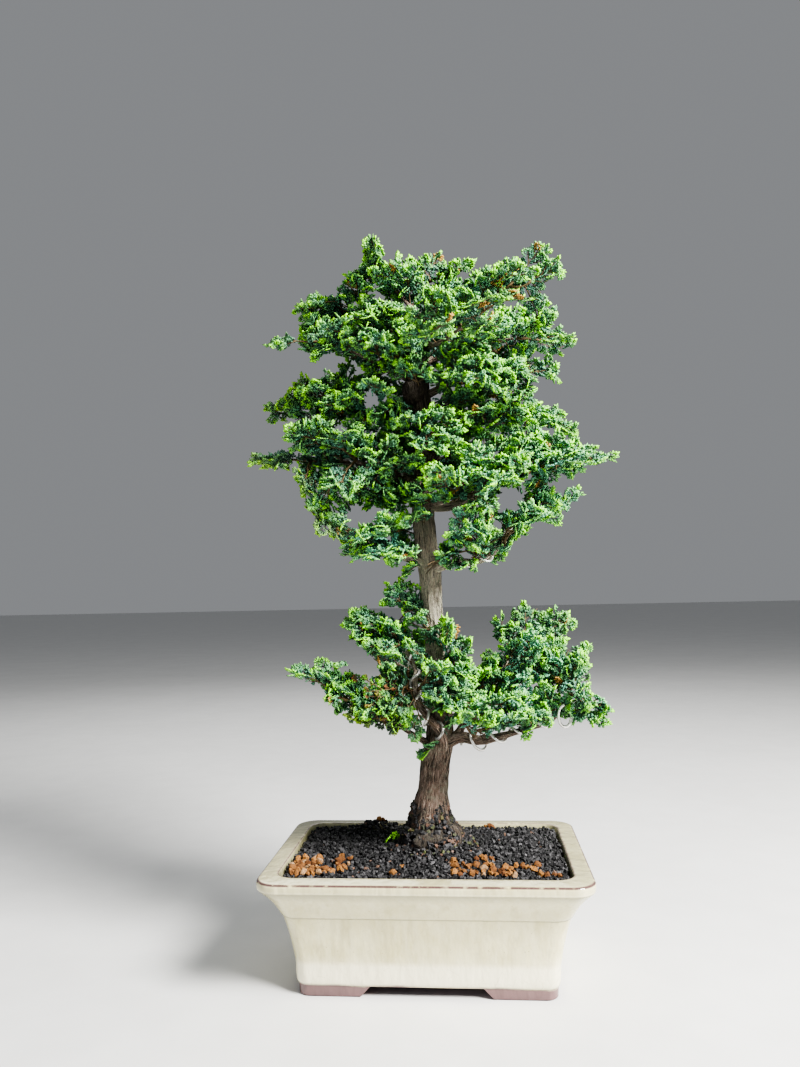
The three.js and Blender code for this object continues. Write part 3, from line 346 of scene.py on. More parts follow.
def grow_limb(bm, matrices, sides, radii, length, closed=True):
    """A tapered limb: a ring of edges, extruded from matrix to matrix. Returns its rings of vertices."""
    grain = bm.verts.layers.float_vector.get("grain")
    places = [matrix @ Matrix.Scale(radius, 4) for matrix, radius in zip(matrices, radii)]
    ring, edges = circle(bm, sides)
    if grain is not None:
        for vert in ring:
            vert[grain] = vert.co * max(radii)
    bmesh.ops.transform(bm, matrix=places[0], verts=ring)
    if closed:
        bmesh.ops.edgeloop_fill(bm, edges=edges)
    rings = [ring]
    for i, (before, after) in enumerate(zip(places, places[1:]), 1):
        ring, edges = extruded(bm, edges)
        bmesh.ops.transform(bm, matrix=after @ before.inverted(), verts=ring)
        if grain is not None:
            for vert in ring:
                vert[grain].z = length * i / (len(places) - 1)
        rings.append(ring)
    if closed:
        bmesh.ops.edgeloop_fill(bm, edges=edges)
    return rings


class Gathering:
    """Small shapes gathered into one mesh, each point with its four colour values."""

    def __init__(self):
        self.points, self.faces, self.values, self.count = [], [], [], 0

    def add_copies(self, shape, matrices, values):
        """One copy of a small shape for each 4 x 4 matrix; values has four numbers for each point."""
        points, faces = shape
        placed = np.einsum("nij,vj->nvi", matrices[:, :3, :3], points) + matrices[:, None, :3, 3]
        starts = self.count + len(points) * np.arange(len(matrices))
        for face in faces:
            self.faces.extend((starts[:, None] + np.asarray(face)).tolist())
        self.points.append(placed.reshape(-1, 3))
        self.values.append(values.reshape(-1, 4))
        self.count += len(placed) * len(points)

    def add_kinds(self, shapes, matrices, shades):
        """Copies of several shapes by turns; shades has four numbers for each copy."""
        for i, shape in enumerate(shapes):
            chosen = slice(i, None, len(shapes))
            values = np.repeat(shades[chosen, None, :], len(shape[0]), axis=1)
            self.add_copies(shape, matrices[chosen], values)

    def add_bmesh(self, bm, value):
        shape = shape_of(bm)
        self.add_copies(shape, np.eye(4)[None], np.tile(value, (len(shape[0]), 1)))

    def mesh(self, name, attribute):
        mesh = bpy.data.meshes.new(name)
        mesh.from_pydata(np.concatenate(self.points) * MM, [], self.faces)
        layer = mesh.attributes.new(attribute, "FLOAT_COLOR", "POINT")
        layer.data.foreach_set("color", np.concatenate(self.values).astype(np.float32).ravel())
        return mesh


def shape_of(bm):
    """The points and faces of a bmesh, which is freed."""
    bm.verts.index_update()
    points = np.array([vert.co for vert in bm.verts])
    faces = [[vert.index for vert in face.verts] for face in bm.faces]
    bm.free()
    return points, faces


def mesh_of(bm, name):
    """A finished mesh in metres, with its faces outwards."""
    bmesh.ops.recalc_face_normals(bm, faces=bm.faces)
    bmesh.ops.scale(bm, vec=(MM, MM, MM), verts=bm.verts)
    mesh = bpy.data.meshes.new(name)
    bm.to_mesh(mesh)
    bm.free()
    return mesh


def add_object(name, data):
    added = bpy.data.objects.new(name, data)
    bpy.context.scene.collection.objects.link(added)
    return added


def finish_piece(mesh, materials, replaced=(), smooth=True):
    """A finished piece: it rides on the tree in its pot and stands for the nodes named."""
    piece = add_object(mesh.name, mesh)
    for material in materials:
        mesh.materials.append(material)
    if smooth:
        mesh.shade_smooth()
    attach(piece, "root")
    if replaced:
        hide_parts(*replaced)
    return piece


# ---------------------------------------------------------------- camera, floor and light

CAMERA = {"place": (41.9, -699.3, 297.3), "lens": 28.08, "sensor": 36, "pitch": 4.29, "yaw": 4.92,
          "roll": -1.16}
# Lamps: name, place in metres, size, power and colour. All of them point at the middle of the tree.
LAMPS = [
    ("window", (1.1, -0.75, 1.25), 0.6, 94, (1, 0.985, 0.95)),
    ("fill", (-1.3, -1.2, 0.8), 1.6, 5, (0.92, 0.96, 1)),
    ("back", (-0.3, 1.4, 1.5), 1.4, 10, (1, 1, 1)),
]
MIDDLE = Vector((0, 0, 0.3))
FLOOR_REACH = 20000
SURROUND = {"Color": (0.8, 0.82, 0.85, 1), "Strength": 0.28}


def set_camera():
    camera = add_object("camera", bpy.data.cameras.new("camera"))
    camera.data.sensor_fit = "VERTICAL"
    camera.data.sensor_height = CAMERA["sensor"]
    camera.data.lens = CAMERA["lens"]
    pitch, yaw, roll = (math.radians(CAMERA[angle]) for angle in ("pitch", "yaw", "roll"))
    ahead = Vector((-math.sin(yaw) * math.cos(pitch), math.cos(yaw) * math.cos(pitch), math.sin(pitch)))
    right = turned(Vector((math.cos(yaw), math.sin(yaw), 0)), ahead, -roll)
    turn = Matrix((right, right.cross(ahead), -ahead)).transposed().to_4x4()
    camera.matrix_world = Matrix.Translation(Vector(CAMERA["place"]) * MM) @ turn
    bpy.context.scene.camera = camera


def lay_floor():
    bm = bmesh.new()
    bmesh.ops.create_grid(bm, x_segments=1, y_segments=1, size=FLOOR_REACH)
    floor = add_object("floor", mesh_of(bm, "floor"))
    paint = Finish("pale_floor", Roughness=0.7)
    paint.base(paint.blend(paint.mottle(paint.where(), 6, 3), (0.66, 0.66, 0.65), (0.7, 0.7, 0.69)))
    floor.data.materials.append(paint.material)


def light_studio():
    """A broad window from the right, a softer fill from the left and a pale surround."""
    for name, place, size, power, colour in LAMPS:
        lamp = add_object(name, bpy.data.lights.new(name, "AREA"))
        lamp.data.shape = "SQUARE"
        lamp.data.size = size
        lamp.data.energy = power
        lamp.data.color = colour
        lamp.location = place
        lamp.rotation_euler = (MIDDLE - lamp.location).to_track_quat("-Z", "Y").to_euler()
    world = bpy.data.worlds.new("surround")
    bpy.context.scene.world = world
    world.use_nodes = True
    for socket, value in SURROUND.items():
        world.node_tree.nodes["Background"].inputs[socket].default_value = value
    bpy.context.scene.view_settings.look = "AgX - High Contrast"


# ---------------------------------------------------------------- finishes


class Nodes:
    """The nodes of one shader tree, added step by step. A colour is three numbers or a socket."""

    def __init__(self, tree):
        self.tree = tree

    def feed(self, node, sockets):
        for label, value in sockets.items():
            socket = node.inputs[label.replace("_", " ")] if isinstance(label, str) else node.inputs[label]
            if isinstance(value, bpy.types.NodeSocket):
                self.tree.links.new(value, socket)
            else:
                socket.default_value = value

    def node(self, kind, settings=None, **sockets):
        node = self.tree.nodes.new("ShaderNode" + kind)
        for key, value in (settings or {}).items():
            setattr(node, key, value)
        self.feed(node, sockets)
        return node

    def where(self):
        return self.node("TexCoord").outputs["Object"]

    def height(self, vector):
        return self.node("SeparateXYZ", Vector=vector).outputs["Z"]

    def stretched(self, vector, scale):
        return self.node("Mapping", Vector=vector, Scale=scale).outputs[0]

    def noise(self, vector, scale, detail=3, roughness=0.55, distortion=0.0):
        return self.node("TexNoise", Vector=vector, Scale=scale, Detail=detail, Roughness=roughness,
                         Distortion=distortion).outputs["Fac"]

    def ramp(self, factor, low, high):
        """The factor spread so that low becomes 0 and high becomes 1."""
        return self.node("MapRange", Value=factor, From_Min=low, From_Max=high).outputs[0]

    def math(self, operation, a, b):
        """One sum, product or comparison; a product is held between 0 and 1."""
        node = self.node("Math", {"operation": operation, "use_clamp": operation == "MULTIPLY"})
        self.feed(node, {0: a, 1: b})
        return node.outputs[0]

    def blend(self, factor, a, b):
        """From colour a to colour b by the factor."""
        node = self.node("Mix", {"data_type": "RGBA"})
        a, b = ((*colour, 1) if isinstance(colour, tuple) else colour for colour in (a, b))
        self.feed(node, {0: factor, 6: a, 7: b})
        return node.outputs[2]

    def tinted(self, colour, mask, tint, share=1):
        """The colour with a tint over it where the mask is 1, up to a share of the whole."""
        return self.blend(mask if share == 1 else self.math("MULTIPLY", mask, share), colour, tint)


def new_group(name, numbers):
    """The nodes of a new group, its inputs and its end: a vector and numbers go in, and a value comes out."""
    group = bpy.data.node_groups.new(name, "ShaderNodeTree")
    group.interface.new_socket(name="Vector", in_out="INPUT", socket_type="NodeSocketVector")
    for label, value in numbers.items():
        socket = group.interface.new_socket(name=label, in_out="INPUT", socket_type="NodeSocketFloat")
        socket.default_value = value
    group.interface.new_socket(name="Value", in_out="OUTPUT", socket_type="NodeSocketFloat")
    return Nodes(group), group.nodes.new("NodeGroupInput").outputs, group.nodes.new("NodeGroupOutput")


class Finish(Nodes):
    """A node material that is built round one Principled shader."""

    def __init__(self, name, **constants):
        self.material = bpy.data.materials.new(name)
        self.material.use_nodes = True
        super().__init__(self.material.node_tree)
        self.shader = self.tree.nodes["Principled BSDF"]
        self.feed(self.shader, constants)

    def channels(self, name):
        """Red, green, blue and alpha of one of the mesh's colour attributes."""
        stored = self.node("Attribute", {"attribute_name": name}).outputs
        parts = self.node("SeparateColor", Color=stored["Color"]).outputs
        return parts["Red"], parts["Green"], parts["Blue"], stored["Alpha"]

    def mottle(self, vector, scale, detail=4):
        return self.node("Group", {"node_tree": MOTTLE}, Vector=vector, Scale=scale, Detail=detail).outputs[0]

    def specks(self, vector, scale, size):
        return self.node("Group", {"node_tree": SPECKLE}, Vector=vector, Scale=scale, Size=size).outputs[0]

    def base(self, colour):
        self.feed(self.shader, {"Base Color": colour})

    def rough(self, value):
        self.feed(self.shader, {"Roughness": value})

    def relief(self, height, distance, strength=1.0):
        bump = self.node("Bump", Height=height, Distance=distance, Strength=strength)
        self.feed(self.shader, {"Normal": bump.outputs[0]})


def make_mottle():
    """Two sizes of soft patches in one value from 0 to 1."""
    nodes, start, end = new_group("mottle", {"Scale": 10, "Detail": 4})
    values = []
    for factor in (1.0, 4.3):
        scale = nodes.node("Math", {"operation": "MULTIPLY"})
        nodes.feed(scale, {0: start["Scale"], 1: factor})
        patches = nodes.node("TexNoise", Vector=start["Vector"], Scale=scale.outputs[0],
                             Detail=start["Detail"])
        values.append(patches.outputs["Fac"])
    nodes.feed(end, {"Value": nodes.ramp(nodes.math("ADD", *values), 0.72, 1.28)})
    return nodes.tree


def make_speckle():
    """Small scattered specks: 1 on a speck and 0 between them."""
    nodes, start, end = new_group("speckle", {"Scale": 200, "Size": 0.2})
    cells = nodes.node("TexVoronoi", Vector=start["Vector"], Scale=start["Scale"]).outputs
    speck = nodes.node("MapRange", Value=cells["Distance"], From_Max=start["Size"], To_Min=1, To_Max=0)
    chosen = nodes.math("GREATER_THAN", cells["Color"], 0.72)
    nodes.feed(end, {"Value": nodes.math("MULTIPLY", speck.outputs[0], chosen)})
    return nodes.tree


def glaze_finish():
    """Cream glaze: pools, runs, specks, fine crackle, painted shadow, dark lines on worn edges and bare clay
    at the foot.
    """
    finish = Finish("cream_glaze", Roughness=0.16, Specular_IOR_Level=0.5, Coat_Weight=0.6,
                    Coat_Roughness=0.05)
    where = finish.where()
    worn, shadow, thick, _ = finish.channels("edge")
    patches = finish.mottle(where, 14)
    colour = finish.blend(patches, (0.56, 0.51, 0.28), (0.72, 0.67, 0.42))
    pools = finish.mottle(finish.stretched(where, (1, 1, 0.25)), 60, 3)
    colour = finish.tinted(colour, pools, (0.78, 0.75, 0.57), 0.35)
    runs = finish.ramp(finish.noise(finish.stretched(where, (1, 1, 0.08)), 120, 4), 0.5, 0.72)
    colour = finish.tinted(colour, runs, (0.42, 0.37, 0.2), 0.4)
    # Painted shadow: darker yellow-green glaze where the profile gives it.
    colour = finish.tinted(colour, shadow, (0.36, 0.34, 0.21))
    colour = finish.tinted(colour, thick, (0.84, 0.79, 0.6))
    colour = finish.tinted(colour, finish.specks(where, 260, 0.16), (0.25, 0.15, 0.08), 0.6)
    broken = finish.ramp(finish.noise(where, 90, 4), 0.3, 0.46)
    colour = finish.tinted(colour, finish.math("MULTIPLY", worn, broken), (0.1, 0.05, 0.055))
    cells = finish.node("TexVoronoi", {"feature": "DISTANCE_TO_EDGE"},
                        Vector=finish.stretched(where, (1, 1, 0.35)), Scale=210)
    crackle = finish.ramp(cells.outputs["Distance"], 0.03, 0)
    colour = finish.tinted(colour, crackle, (0.45, 0.38, 0.26), 0.22)
    wavy = finish.math("ADD", finish.height(where), finish.math("MULTIPLY", patches, 0.002))
    colour = finish.tinted(colour, finish.ramp(wavy, 0.0105, 0.0085), (0.19, 0.11, 0.11))
    finish.base(colour)
    finish.rough(finish.math("ADD", finish.math("MULTIPLY", patches, 0.1), 0.1))
    finish.relief(finish.mottle(finish.stretched(where, (1, 1, 0.4)), 34, 2), 0.0011, 0.5)
    return finish.material


def bare_clay_finish():
    finish = Finish("bare_clay", Roughness=0.8)
    where = finish.where()
    colour = finish.blend(finish.mottle(where, 40, 5), (0.045, 0.021, 0.027), (0.11, 0.055, 0.066))
    finish.base(finish.tinted(colour, finish.specks(where, 700, 0.3), (0.42, 0.32, 0.28), 0.5))
    finish.relief(finish.noise(where, 900, 4), 0.0003, 0.6)
    return finish.material


def bark_finish():
    """Fibrous bark: tan strips over dark furrows, partly painted shade, pale fibres, partly painted
    highlights, a stretch lightened as painted light, lichen, a mossy foot and a dark scar.
    """
    finish = Finish("fibrous_bark", Roughness=0.85)
    where = finish.where()
    grain = finish.node("Attribute", {"attribute_name": "grain"}).outputs["Vector"]
    strips = finish.noise(finish.stretched(grain, (0.55, 0.55, 0.06)), 1.0, 5, 0.62, 0.6)
    fibres = finish.noise(finish.stretched(grain, (2.6, 2.6, 0.16)), 1.0, 5, 0.7, 0.4)
    patches = finish.mottle(where, 28)
    small = finish.mottle(where, 90)
    height = finish.height(where)
    # Dark furrows between tan strips: partly the bark's own colour, partly painted shade in the furrows.
    colour = finish.blend(finish.ramp(strips, 0.42, 0.58), (0.045, 0.03, 0.022), (0.34, 0.245, 0.18))
    colour = finish.tinted(colour, finish.ramp(patches, 0.45, 0.8), (0.47, 0.3, 0.24), 0.7)
    # Painted light: the trunk from 0.2 to 0.4 m up is lightened towards pale beige, as if lit.
    middle = finish.math("MULTIPLY", finish.ramp(height, 0.2, 0.245), finish.ramp(height, 0.4, 0.3))
    pale = finish.math("MULTIPLY", middle, finish.ramp(small, -0.3, 0.6))
    colour = finish.tinted(colour, pale, (1, 0.93, 0.75))
    # Raised fibres paler: partly their own colour, partly a painted highlight.
    colour = finish.tinted(colour, finish.ramp(fibres, 0.52, 0.6), (0.9, 0.76, 0.64), 0.85)
    colour = finish.tinted(colour, finish.ramp(small, 0.62, 0.85), (0.5, 0.5, 0.38), 0.5)
    # Low fibres and the deepest furrows darkened: partly dark bark, partly painted shade.
    colour = finish.tinted(colour, finish.ramp(fibres, 0.48, 0.4), (0.022, 0.014, 0.01), 0.92)
    colour = finish.tinted(colour, finish.ramp(strips, 0.43, 0.36), (0.03, 0.018, 0.013), 0.85)
    foot = finish.ramp(finish.math("ADD", height, finish.math("MULTIPLY", patches, 0.02)), 0.138, 0.112)
    moss = finish.blend(small, (0.012, 0.011, 0.01), (0.09, 0.08, 0.066))
    colour = finish.tinted(colour, foot, moss, 0.85)
    scar = finish.node("VectorMath", {"operation": "DISTANCE"})
    finish.feed(scar, {0: where, 1: [part * MM for part in KNOB["place"]]})
    dark = finish.ramp(scar.outputs["Value"], 0.0145, 0.011)
    finish.base(finish.tinted(colour, dark, (0.045, 0.032, 0.026), 0.75))
    relief = finish.math("ADD", finish.math("MULTIPLY", strips, 0.9), finish.math("MULTIPLY", fibres, 0.6))
    finish.relief(relief, 0.005)
    return finish.material


def wire_finish():
    finish = Finish("dulled_aluminium_wire", Metallic=0.7, Roughness=0.4)
    where = finish.where()
    dull = finish.mottle(where, 120)
    finish.base(finish.blend(dull, (0.66, 0.64, 0.62), (0.9, 0.88, 0.86)))
    finish.rough(finish.math("ADD", finish.math("MULTIPLY", dull, 0.25), 0.28))
    finish.relief(finish.noise(where, 1500), 0.0001, 0.4)
    return finish.material


def net_finish():
    finish = Finish("drain_net", Roughness=0.55)
    where = finish.where()
    finish.base(finish.blend(finish.mottle(where, 200), (0.012, 0.013, 0.013), (0.05, 0.045, 0.04)))
    finish.relief(finish.noise(where, 1800), 0.0001, 0.3)
    return finish.material


def soil_finish():
    """Dark mineral grains: each has its own shade, and some are warmer or mossy."""
    finish = Finish("dark_soil_grains", Roughness=0.75)
    shade, warmth, moss, _ = finish.channels("grains")
    pits = finish.noise(finish.where(), 900, 4, 0.7)
    colour = finish.blend(shade, (0.005, 0.005, 0.006), (0.135, 0.131, 0.138))
    colour = finish.tinted(colour, warmth, (0.3, 0.16, 0.1))
    colour = finish.tinted(colour, moss, (0.13, 0.15, 0.05))
    finish.base(finish.tinted(colour, finish.ramp(pits, 0.55, 0.7), (0.3, 0.29, 0.29), 0.35))
    finish.relief(pits, 0.0008, 0.9)
    return finish.material


def fired_finish():
    """Orange fired clay: each grain has its own shade, and some are paler."""
    finish = Finish("orange_fired_clay", Roughness=0.9)
    shade, pale, *_ = finish.channels("grains")
    pits = finish.noise(finish.where(), 900, 4, 0.7)
    colour = finish.blend(shade, (0.12, 0.043, 0.013), (0.4, 0.195, 0.06))
    colour = finish.tinted(colour, pale, (0.46, 0.31, 0.18))
    finish.base(finish.tinted(colour, finish.ramp(pits, 0.55, 0.42), (0.06, 0.022, 0.01), 0.6))
    finish.relief(pits, 0.0006, 0.8)
    return finish.material


def foliage_finish():
    """Scale leaves: fresh growth, how dark the leaf is (its own tone, partly painted shade), painted shade in
    flecks, its waxy bloom, and what is wood or dried.
    """
    finish = Finish("scale_leaves", Roughness=0.6, Specular_IOR_Level=0.25)
    where = finish.where()
    fresh, shade, bloom, wood = finish.channels("growth")
    # Dark to mid green by the leaf's darkness: its own tone, and painted shade deeper in the spray.
    colour = finish.blend(shade, (0.034, 0.076, 0.052), (0.152, 0.29, 0.185))
    colour = finish.tinted(colour, bloom, (0.23, 0.6, 0.46), 0.9)
    colour = finish.tinted(colour, fresh, (0.37, 0.82, 0.07))
    # Painted shade: small dark green flecks, as of the gaps between scale leaves.
    painted_gap_shade = finish.ramp(finish.noise(where, 520), 0.5, 0.34)
    colour = finish.tinted(colour, painted_gap_shade, (0.015, 0.045, 0.018), 0.35)
    brown = finish.blend(fresh, (0.12, 0.07, 0.045), (0.4, 0.18, 0.075))
    finish.base(finish.tinted(colour, wood, brown))
    finish.relief(finish.node("TexVoronoi", Vector=where, Scale=900).outputs["Distance"], 0.0003, 0.5)
    return finish.material


# ---------------------------------------------------------------- pot

CORNER_STEPS = 9
POT_SIDES = 4 * (CORNER_STEPS + 1)


def pot_outline(inset):
    """The plan of the pot at an inset from its rim: a rectangle with round corners."""
    radius = max(POT["corner"] - 0.3 * inset, 6)
    half_width = POT["width"] / 2 - inset - radius
    half_depth = POT["depth"] / 2 - inset - radius
    outline = []
    for sx, sy, start in ((1, 1, 0), (-1, 1, 90), (-1, -1, 180), (1, -1, 270)):
        for i in range(CORNER_STEPS + 1):
            angle = math.radians(start + 90 * i / CORNER_STEPS)
            outline.append((sx * half_width + radius * math.cos(angle),
                            sy * half_depth + radius * math.sin(angle)))
    return outline


def slope(start, end, hollow, steps=9):
    """Places of a profile from one to another, drawn in between them by a share of a sine."""
    places = []
    for i in range(steps + 1):
        share = i / steps
        inset = lerp(start[0], end[0], share) + hollow * math.sin(math.pi * share)
        places.append((inset, lerp(start[1], end[1], share)))
    return places


# Every profile has an inset, a height and three shares of colour: worn line, painted shadow and thick glaze.
def outer_profile():
    """The outer wall, from the foot up to the lip."""
    groove, lip = POT["height"] - POT["groove"], POT["height"] - POT["lip"]
    base, band, cove = POT["base"], POT["band"], POT["cove"]
    wall_hollow, cove_hollow = POT["hollow"]
    wall = slope((base - 1.7, band), (cove + 1.2, groove - 0.9), wall_hollow)
    moulding = slope((cove - 0.2, groove + 0.7), (0.6, lip - 0.4), cove_hollow)
    return [
        # Painted shadow: a little along the foot, more in the groove, under the lip and on its face.
        (base + 0.2, 8, 0, 0.3, 0), (base - 0.4, 8.7, 0, 0.1, 0.5), (base - 1, 10.5, 0, 0, 1),
        (base - 1.3, 13, 0, 0, 1), (base - 1.6, 18, 0, 0, 1),
        *((inset, z, 0, 0, clamp(1 - (z - band) / 5)) for inset, z in wall),
        (cove + 1.15, groove - 0.45, 0, 0.7, 0), (cove + 0.9, groove - 0.05, 0, 1, 0),
        (cove + 0.3, groove + 0.35, 0, 0.5, 0),
        *((inset, z, 0, clamp(0.25 + (z - lip + 6) / 8) if z > lip - 6 else 0.1, 0) for inset, z in moulding),
        (0.35, lip, 0, 0.8, 0), (0.1, lip + 0.7, 0, 0.2, 0.3), (0, lip + 2, 0, 0.35, 0),
        (0, lip + 4.2, 0, 0.4, 0),
    ]


def rim_profile():
    """Over the rim, which is a little hollow, with worn edges."""
    top = POT["height"]
    return [
        # Painted shadow darkens the flat top of the rim.
        (0.12, top - 2.8, 0.1, 0, 0), (0.35, top - 2.2, 0.9, 0, 0), (0.8, top - 1.6, 1, 0, 0),
        (1.4, top - 1.25, 0.75, 0, 0), (2.1, top - 1.05, 0, 0.5, 0), (4, top - 0.85, 0, 0.64, 0),
        (9, top - 0.5, 0, 0.64, 0), (12.4, top - 0.3, 0, 0.64, 0), (13.6, top - 0.3, 0.5, 0, 0),
        (14.3, top - 0.45, 0.9, 0, 0), (14.8, top - 0.9, 0.3, 0.4, 0), (POT["rim"], top - 1.7, 0, 0.6, 0),
    ]


def inner_profile():
    """Down the inside to the floor."""
    wall, base, top = POT["wall"], POT["base"], POT["height"]
    floor = FOOT["height"] + POT["floor"]
    places = [(POT["rim"] + 0.4, top - 4), (POT["cove"] + wall, top - 0.3 - POT["groove"]),
              (base + wall - 4, POT["band"] + 10), (base + wall, floor + 3), (base + wall + 4, floor)]
    # The inside is all painted shadow.
    return [(inset, z, 0, 1, 0) for inset, z in places]


def stack_rings(bm, profile):
    """The pot's plan extruded through a profile; each point keeps its number round the ring."""
    number = bm.verts.layers.int.new("number")
    edge = bm.verts.layers.float_color.new("edge")
    ring, edges = circle(bm, POT_SIDES)
    for i, vert in enumerate(ring):
        vert[number] = i
    first = edges
    for step, (inset, height, *finish) in enumerate(profile):
        if step:
            ring, edges = extruded(bm, edges)
        outline = pot_outline(inset)
        for vert in ring:
            vert.co = (*outline[vert[number]], height)
            vert[edge] = (*finish, 1)
    return first, edges


def make_pot(glaze, clay):
    bm = bmesh.new()
    for edges in stack_rings(bm, outer_profile() + rim_profile() + inner_profile()):
        bmesh.ops.edgeloop_fill(bm, edges=edges)
    shell = mesh_of(bm, "pot_glazed")
    piece = finish_piece(shell, [glaze, clay], ["pot"])
    feet = bmesh.new()
    feet.from_mesh(drilled(piece))
    add_feet(feet)
    feet.to_mesh(shell)
    feet.free()
    glazed_from = (FOOT["height"] + 0.3) * MM
    for polygon in shell.polygons:
        polygon.material_index = int(max(shell.vertices[i].co.z for i in polygon.vertices) < glazed_from)
    shell.shade_smooth()
    shell.set_sharp_from_angle(angle=math.radians(40))


def drilled(pot):
    """The pot's mesh with its drain holes."""
    drills = bmesh.new()
    for side in (-1, 1):
        bmesh.ops.create_cone(drills, cap_ends=True, segments=40, radius1=DRAIN["radius"],
                              radius2=DRAIN["radius"], depth=60,
                              matrix=Matrix.Translation((side * DRAIN["x"], 0, FOOT["height"])))
    cutter = add_object("drain_cut", mesh_of(drills, "drain_cut"))
    boolean = pot.modifiers.new("drain_holes", "BOOLEAN")
    boolean.object = cutter
    boolean.solver = "EXACT"
    bpy.context.view_layer.update()
    mesh = bpy.data.meshes.new_from_object(pot.evaluated_get(bpy.context.evaluated_depsgraph_get()))
    pot.modifiers.clear()
    bpy.data.objects.remove(cutter)
    return mesh


def add_feet(pot):
    """Four L-shaped corner feet: one skirt under the pot, cut by sloping planes between them."""
    base, wall, height = POT["base"], FOOT["wall"], FOOT["height"]
    skirt = [(base + 1.4, 0), (base + 0.8, 0.7), (base + 0.4, height + 0.5), (base + wall - 2, height + 0.5),
             (base + wall - 0.7, 0.7), (base + wall + 0.2, 0)]
    for side in (-1, 1):
        for end in (-1, 1):
            bm = bmesh.new()
            outer, inner = stack_rings(bm, [(inset, z, 0, 0, 0) for inset, z in skirt])
            bmesh.ops.bridge_loops(bm, edges=outer + inner)
            for gap, normal in ((FOOT["gap_x"], Vector((side, 0, 1))), (FOOT["gap_y"], Vector((0, end, 1)))):
                point = Vector((side * gap, end * gap, height))
                cut = bmesh.ops.bisect_plane(bm, geom=bm.verts[:] + bm.edges[:] + bm.faces[:], plane_co=point,
                                             plane_no=normal.normalized(), clear_inner=True)["geom_cut"]
                bmesh.ops.holes_fill(bm, edges=edges_in(cut))
            pot.from_mesh(mesh_of(bm, "foot"))


# ---------------------------------------------------------------- soil

# Soil grains: the distance between two, how far one strays, how many lie on the trunk's foot and between what
# heights, their size, and how much longer or shorter a side of one may be.
GRAINS = {"pitch": 3, "stray": 0.9, "on_foot": 1100, "foot": (93, 126), "size": (1.1, 2.15),
          "shape": (0.6, 1.45)}
# Grains lie no nearer to the trunk's middle than the first; up to twice the second, more of them are mossy.
BARE_MIDDLE, NEAR_TRUNK = 19, 22
# Fired-clay grains: size, how much longer or shorter a side is, how close two may lie, tries for a clump.
FIRED = {"size": (1.7, 3.2), "shape": (0.7, 1.25), "apart": 0.85, "tries": 400}


def soil_height(x, y):
    """Height of the soil: level by the rim, mounded to the trunk and heaped a little at the back."""
    away = math.hypot(x - TRUNK[0][0], y - TRUNK[0][1]) / SOIL["mound_radius"]
    heap_x, heap_y, height, reach = SOIL["heap"]
    off = math.hypot(x - heap_x, y - heap_y) / reach
    swell = 0.8 * noise.noise(Vector((x * 0.06, y * 0.06, 2)))
    return (POT["height"] - SOIL["below"] + swell + SOIL["mound"] * math.exp(-away * away)
            + height * math.exp(-off * off))


def grain_shapes(count, roughness):
    """A few angular grains for copies: broken, lopsided cubes."""
    # Vector noise follows the clock until it is seeded.
    noise.seed_set(SEEDS["grain_shapes"])
    shapes = []
    for i in range(count):
        bm = bmesh.new()
        bmesh.ops.create_cube(bm, size=1.35)
        for vert in bm.verts:
            shift = noise.noise_vector(vert.co * 1.9 + Vector((9 * i, 4, 0)))
            vert.co = vert.co * (1 - 0.25 * roughness) + roughness * shift
        bmesh.ops.triangulate(bm, faces=bm.faces)
        shapes.append(shape_of(bm))
    return shapes


def placed(places, sizes, random):
    """Matrices that turn each copy its own way, give it its size and put it in its place."""
    count = len(places)
    quaternions = random.normal(size=(count, 4))
    w, x, y, z = (quaternions / np.linalg.norm(quaternions, axis=1)[:, None]).T
    turns = np.array([[1 - 2 * (y * y + z * z), 2 * (x * y - z * w), 2 * (x * z + y * w)],
                      [2 * (x * y + z * w), 1 - 2 * (x * x + z * z), 2 * (y * z - x * w)],
                      [2 * (x * z - y * w), 2 * (y * z + x * w), 1 - 2 * (x * x + y * y)]]).transpose(2, 0, 1)
    matrices = np.zeros((count, 4, 4))
    matrices[:, :3, :3] = turns * sizes[:, None, :]
    matrices[:, :3, 3] = places
    return matrices


def inside_pot(x, y, inset):
    """True inside the pot's round-cornered plan at an inset."""
    radius = POT["corner"] - 0.3 * inset
    dx = max(abs(x) - (POT["width"] / 2 - inset - radius), 0)
    dy = max(abs(y) - (POT["depth"] / 2 - inset - radius), 0)
    return math.hypot(dx, dy) < radius


def add_bed(soil):
    """The body of the soil under its grains: the pot's hollow, closed by rings that climb to the trunk."""
    bm = bmesh.new()
    walls = [(inset + 1, z + 0.6, 0, 0, 0) for inset, z, *_ in reversed(inner_profile()[1:])]
    stack_rings(bm, walls + [(SOIL["inset"], SOIL["wall_top"], 0, 0, 0)])
    number = bm.verts.layers.int["number"]
    outline = pot_outline(SOIL["inset"])
    rim = [edge for edge in bm.edges if edge.is_boundary and edge.verts[0].co.z > SOIL["wall_top"] - 5]
    for share in np.linspace(0.06, 0.9, SOIL["bed_rings"]):
        ring, rim = extruded(bm, rim)
        for vert in ring:
            x, y = (lerp(side, centre, share) for side, centre in zip(outline[vert[number]], TRUNK[0]))
            vert.co = (x, y, soil_height(x, y) - SOIL["under_grains"])
    bmesh.ops.holes_fill(bm, edges=bm.edges)
    bmesh.ops.recalc_face_normals(bm, faces=bm.faces)
    soil.add_bmesh(bm, (0.1, 0, 0, 1))


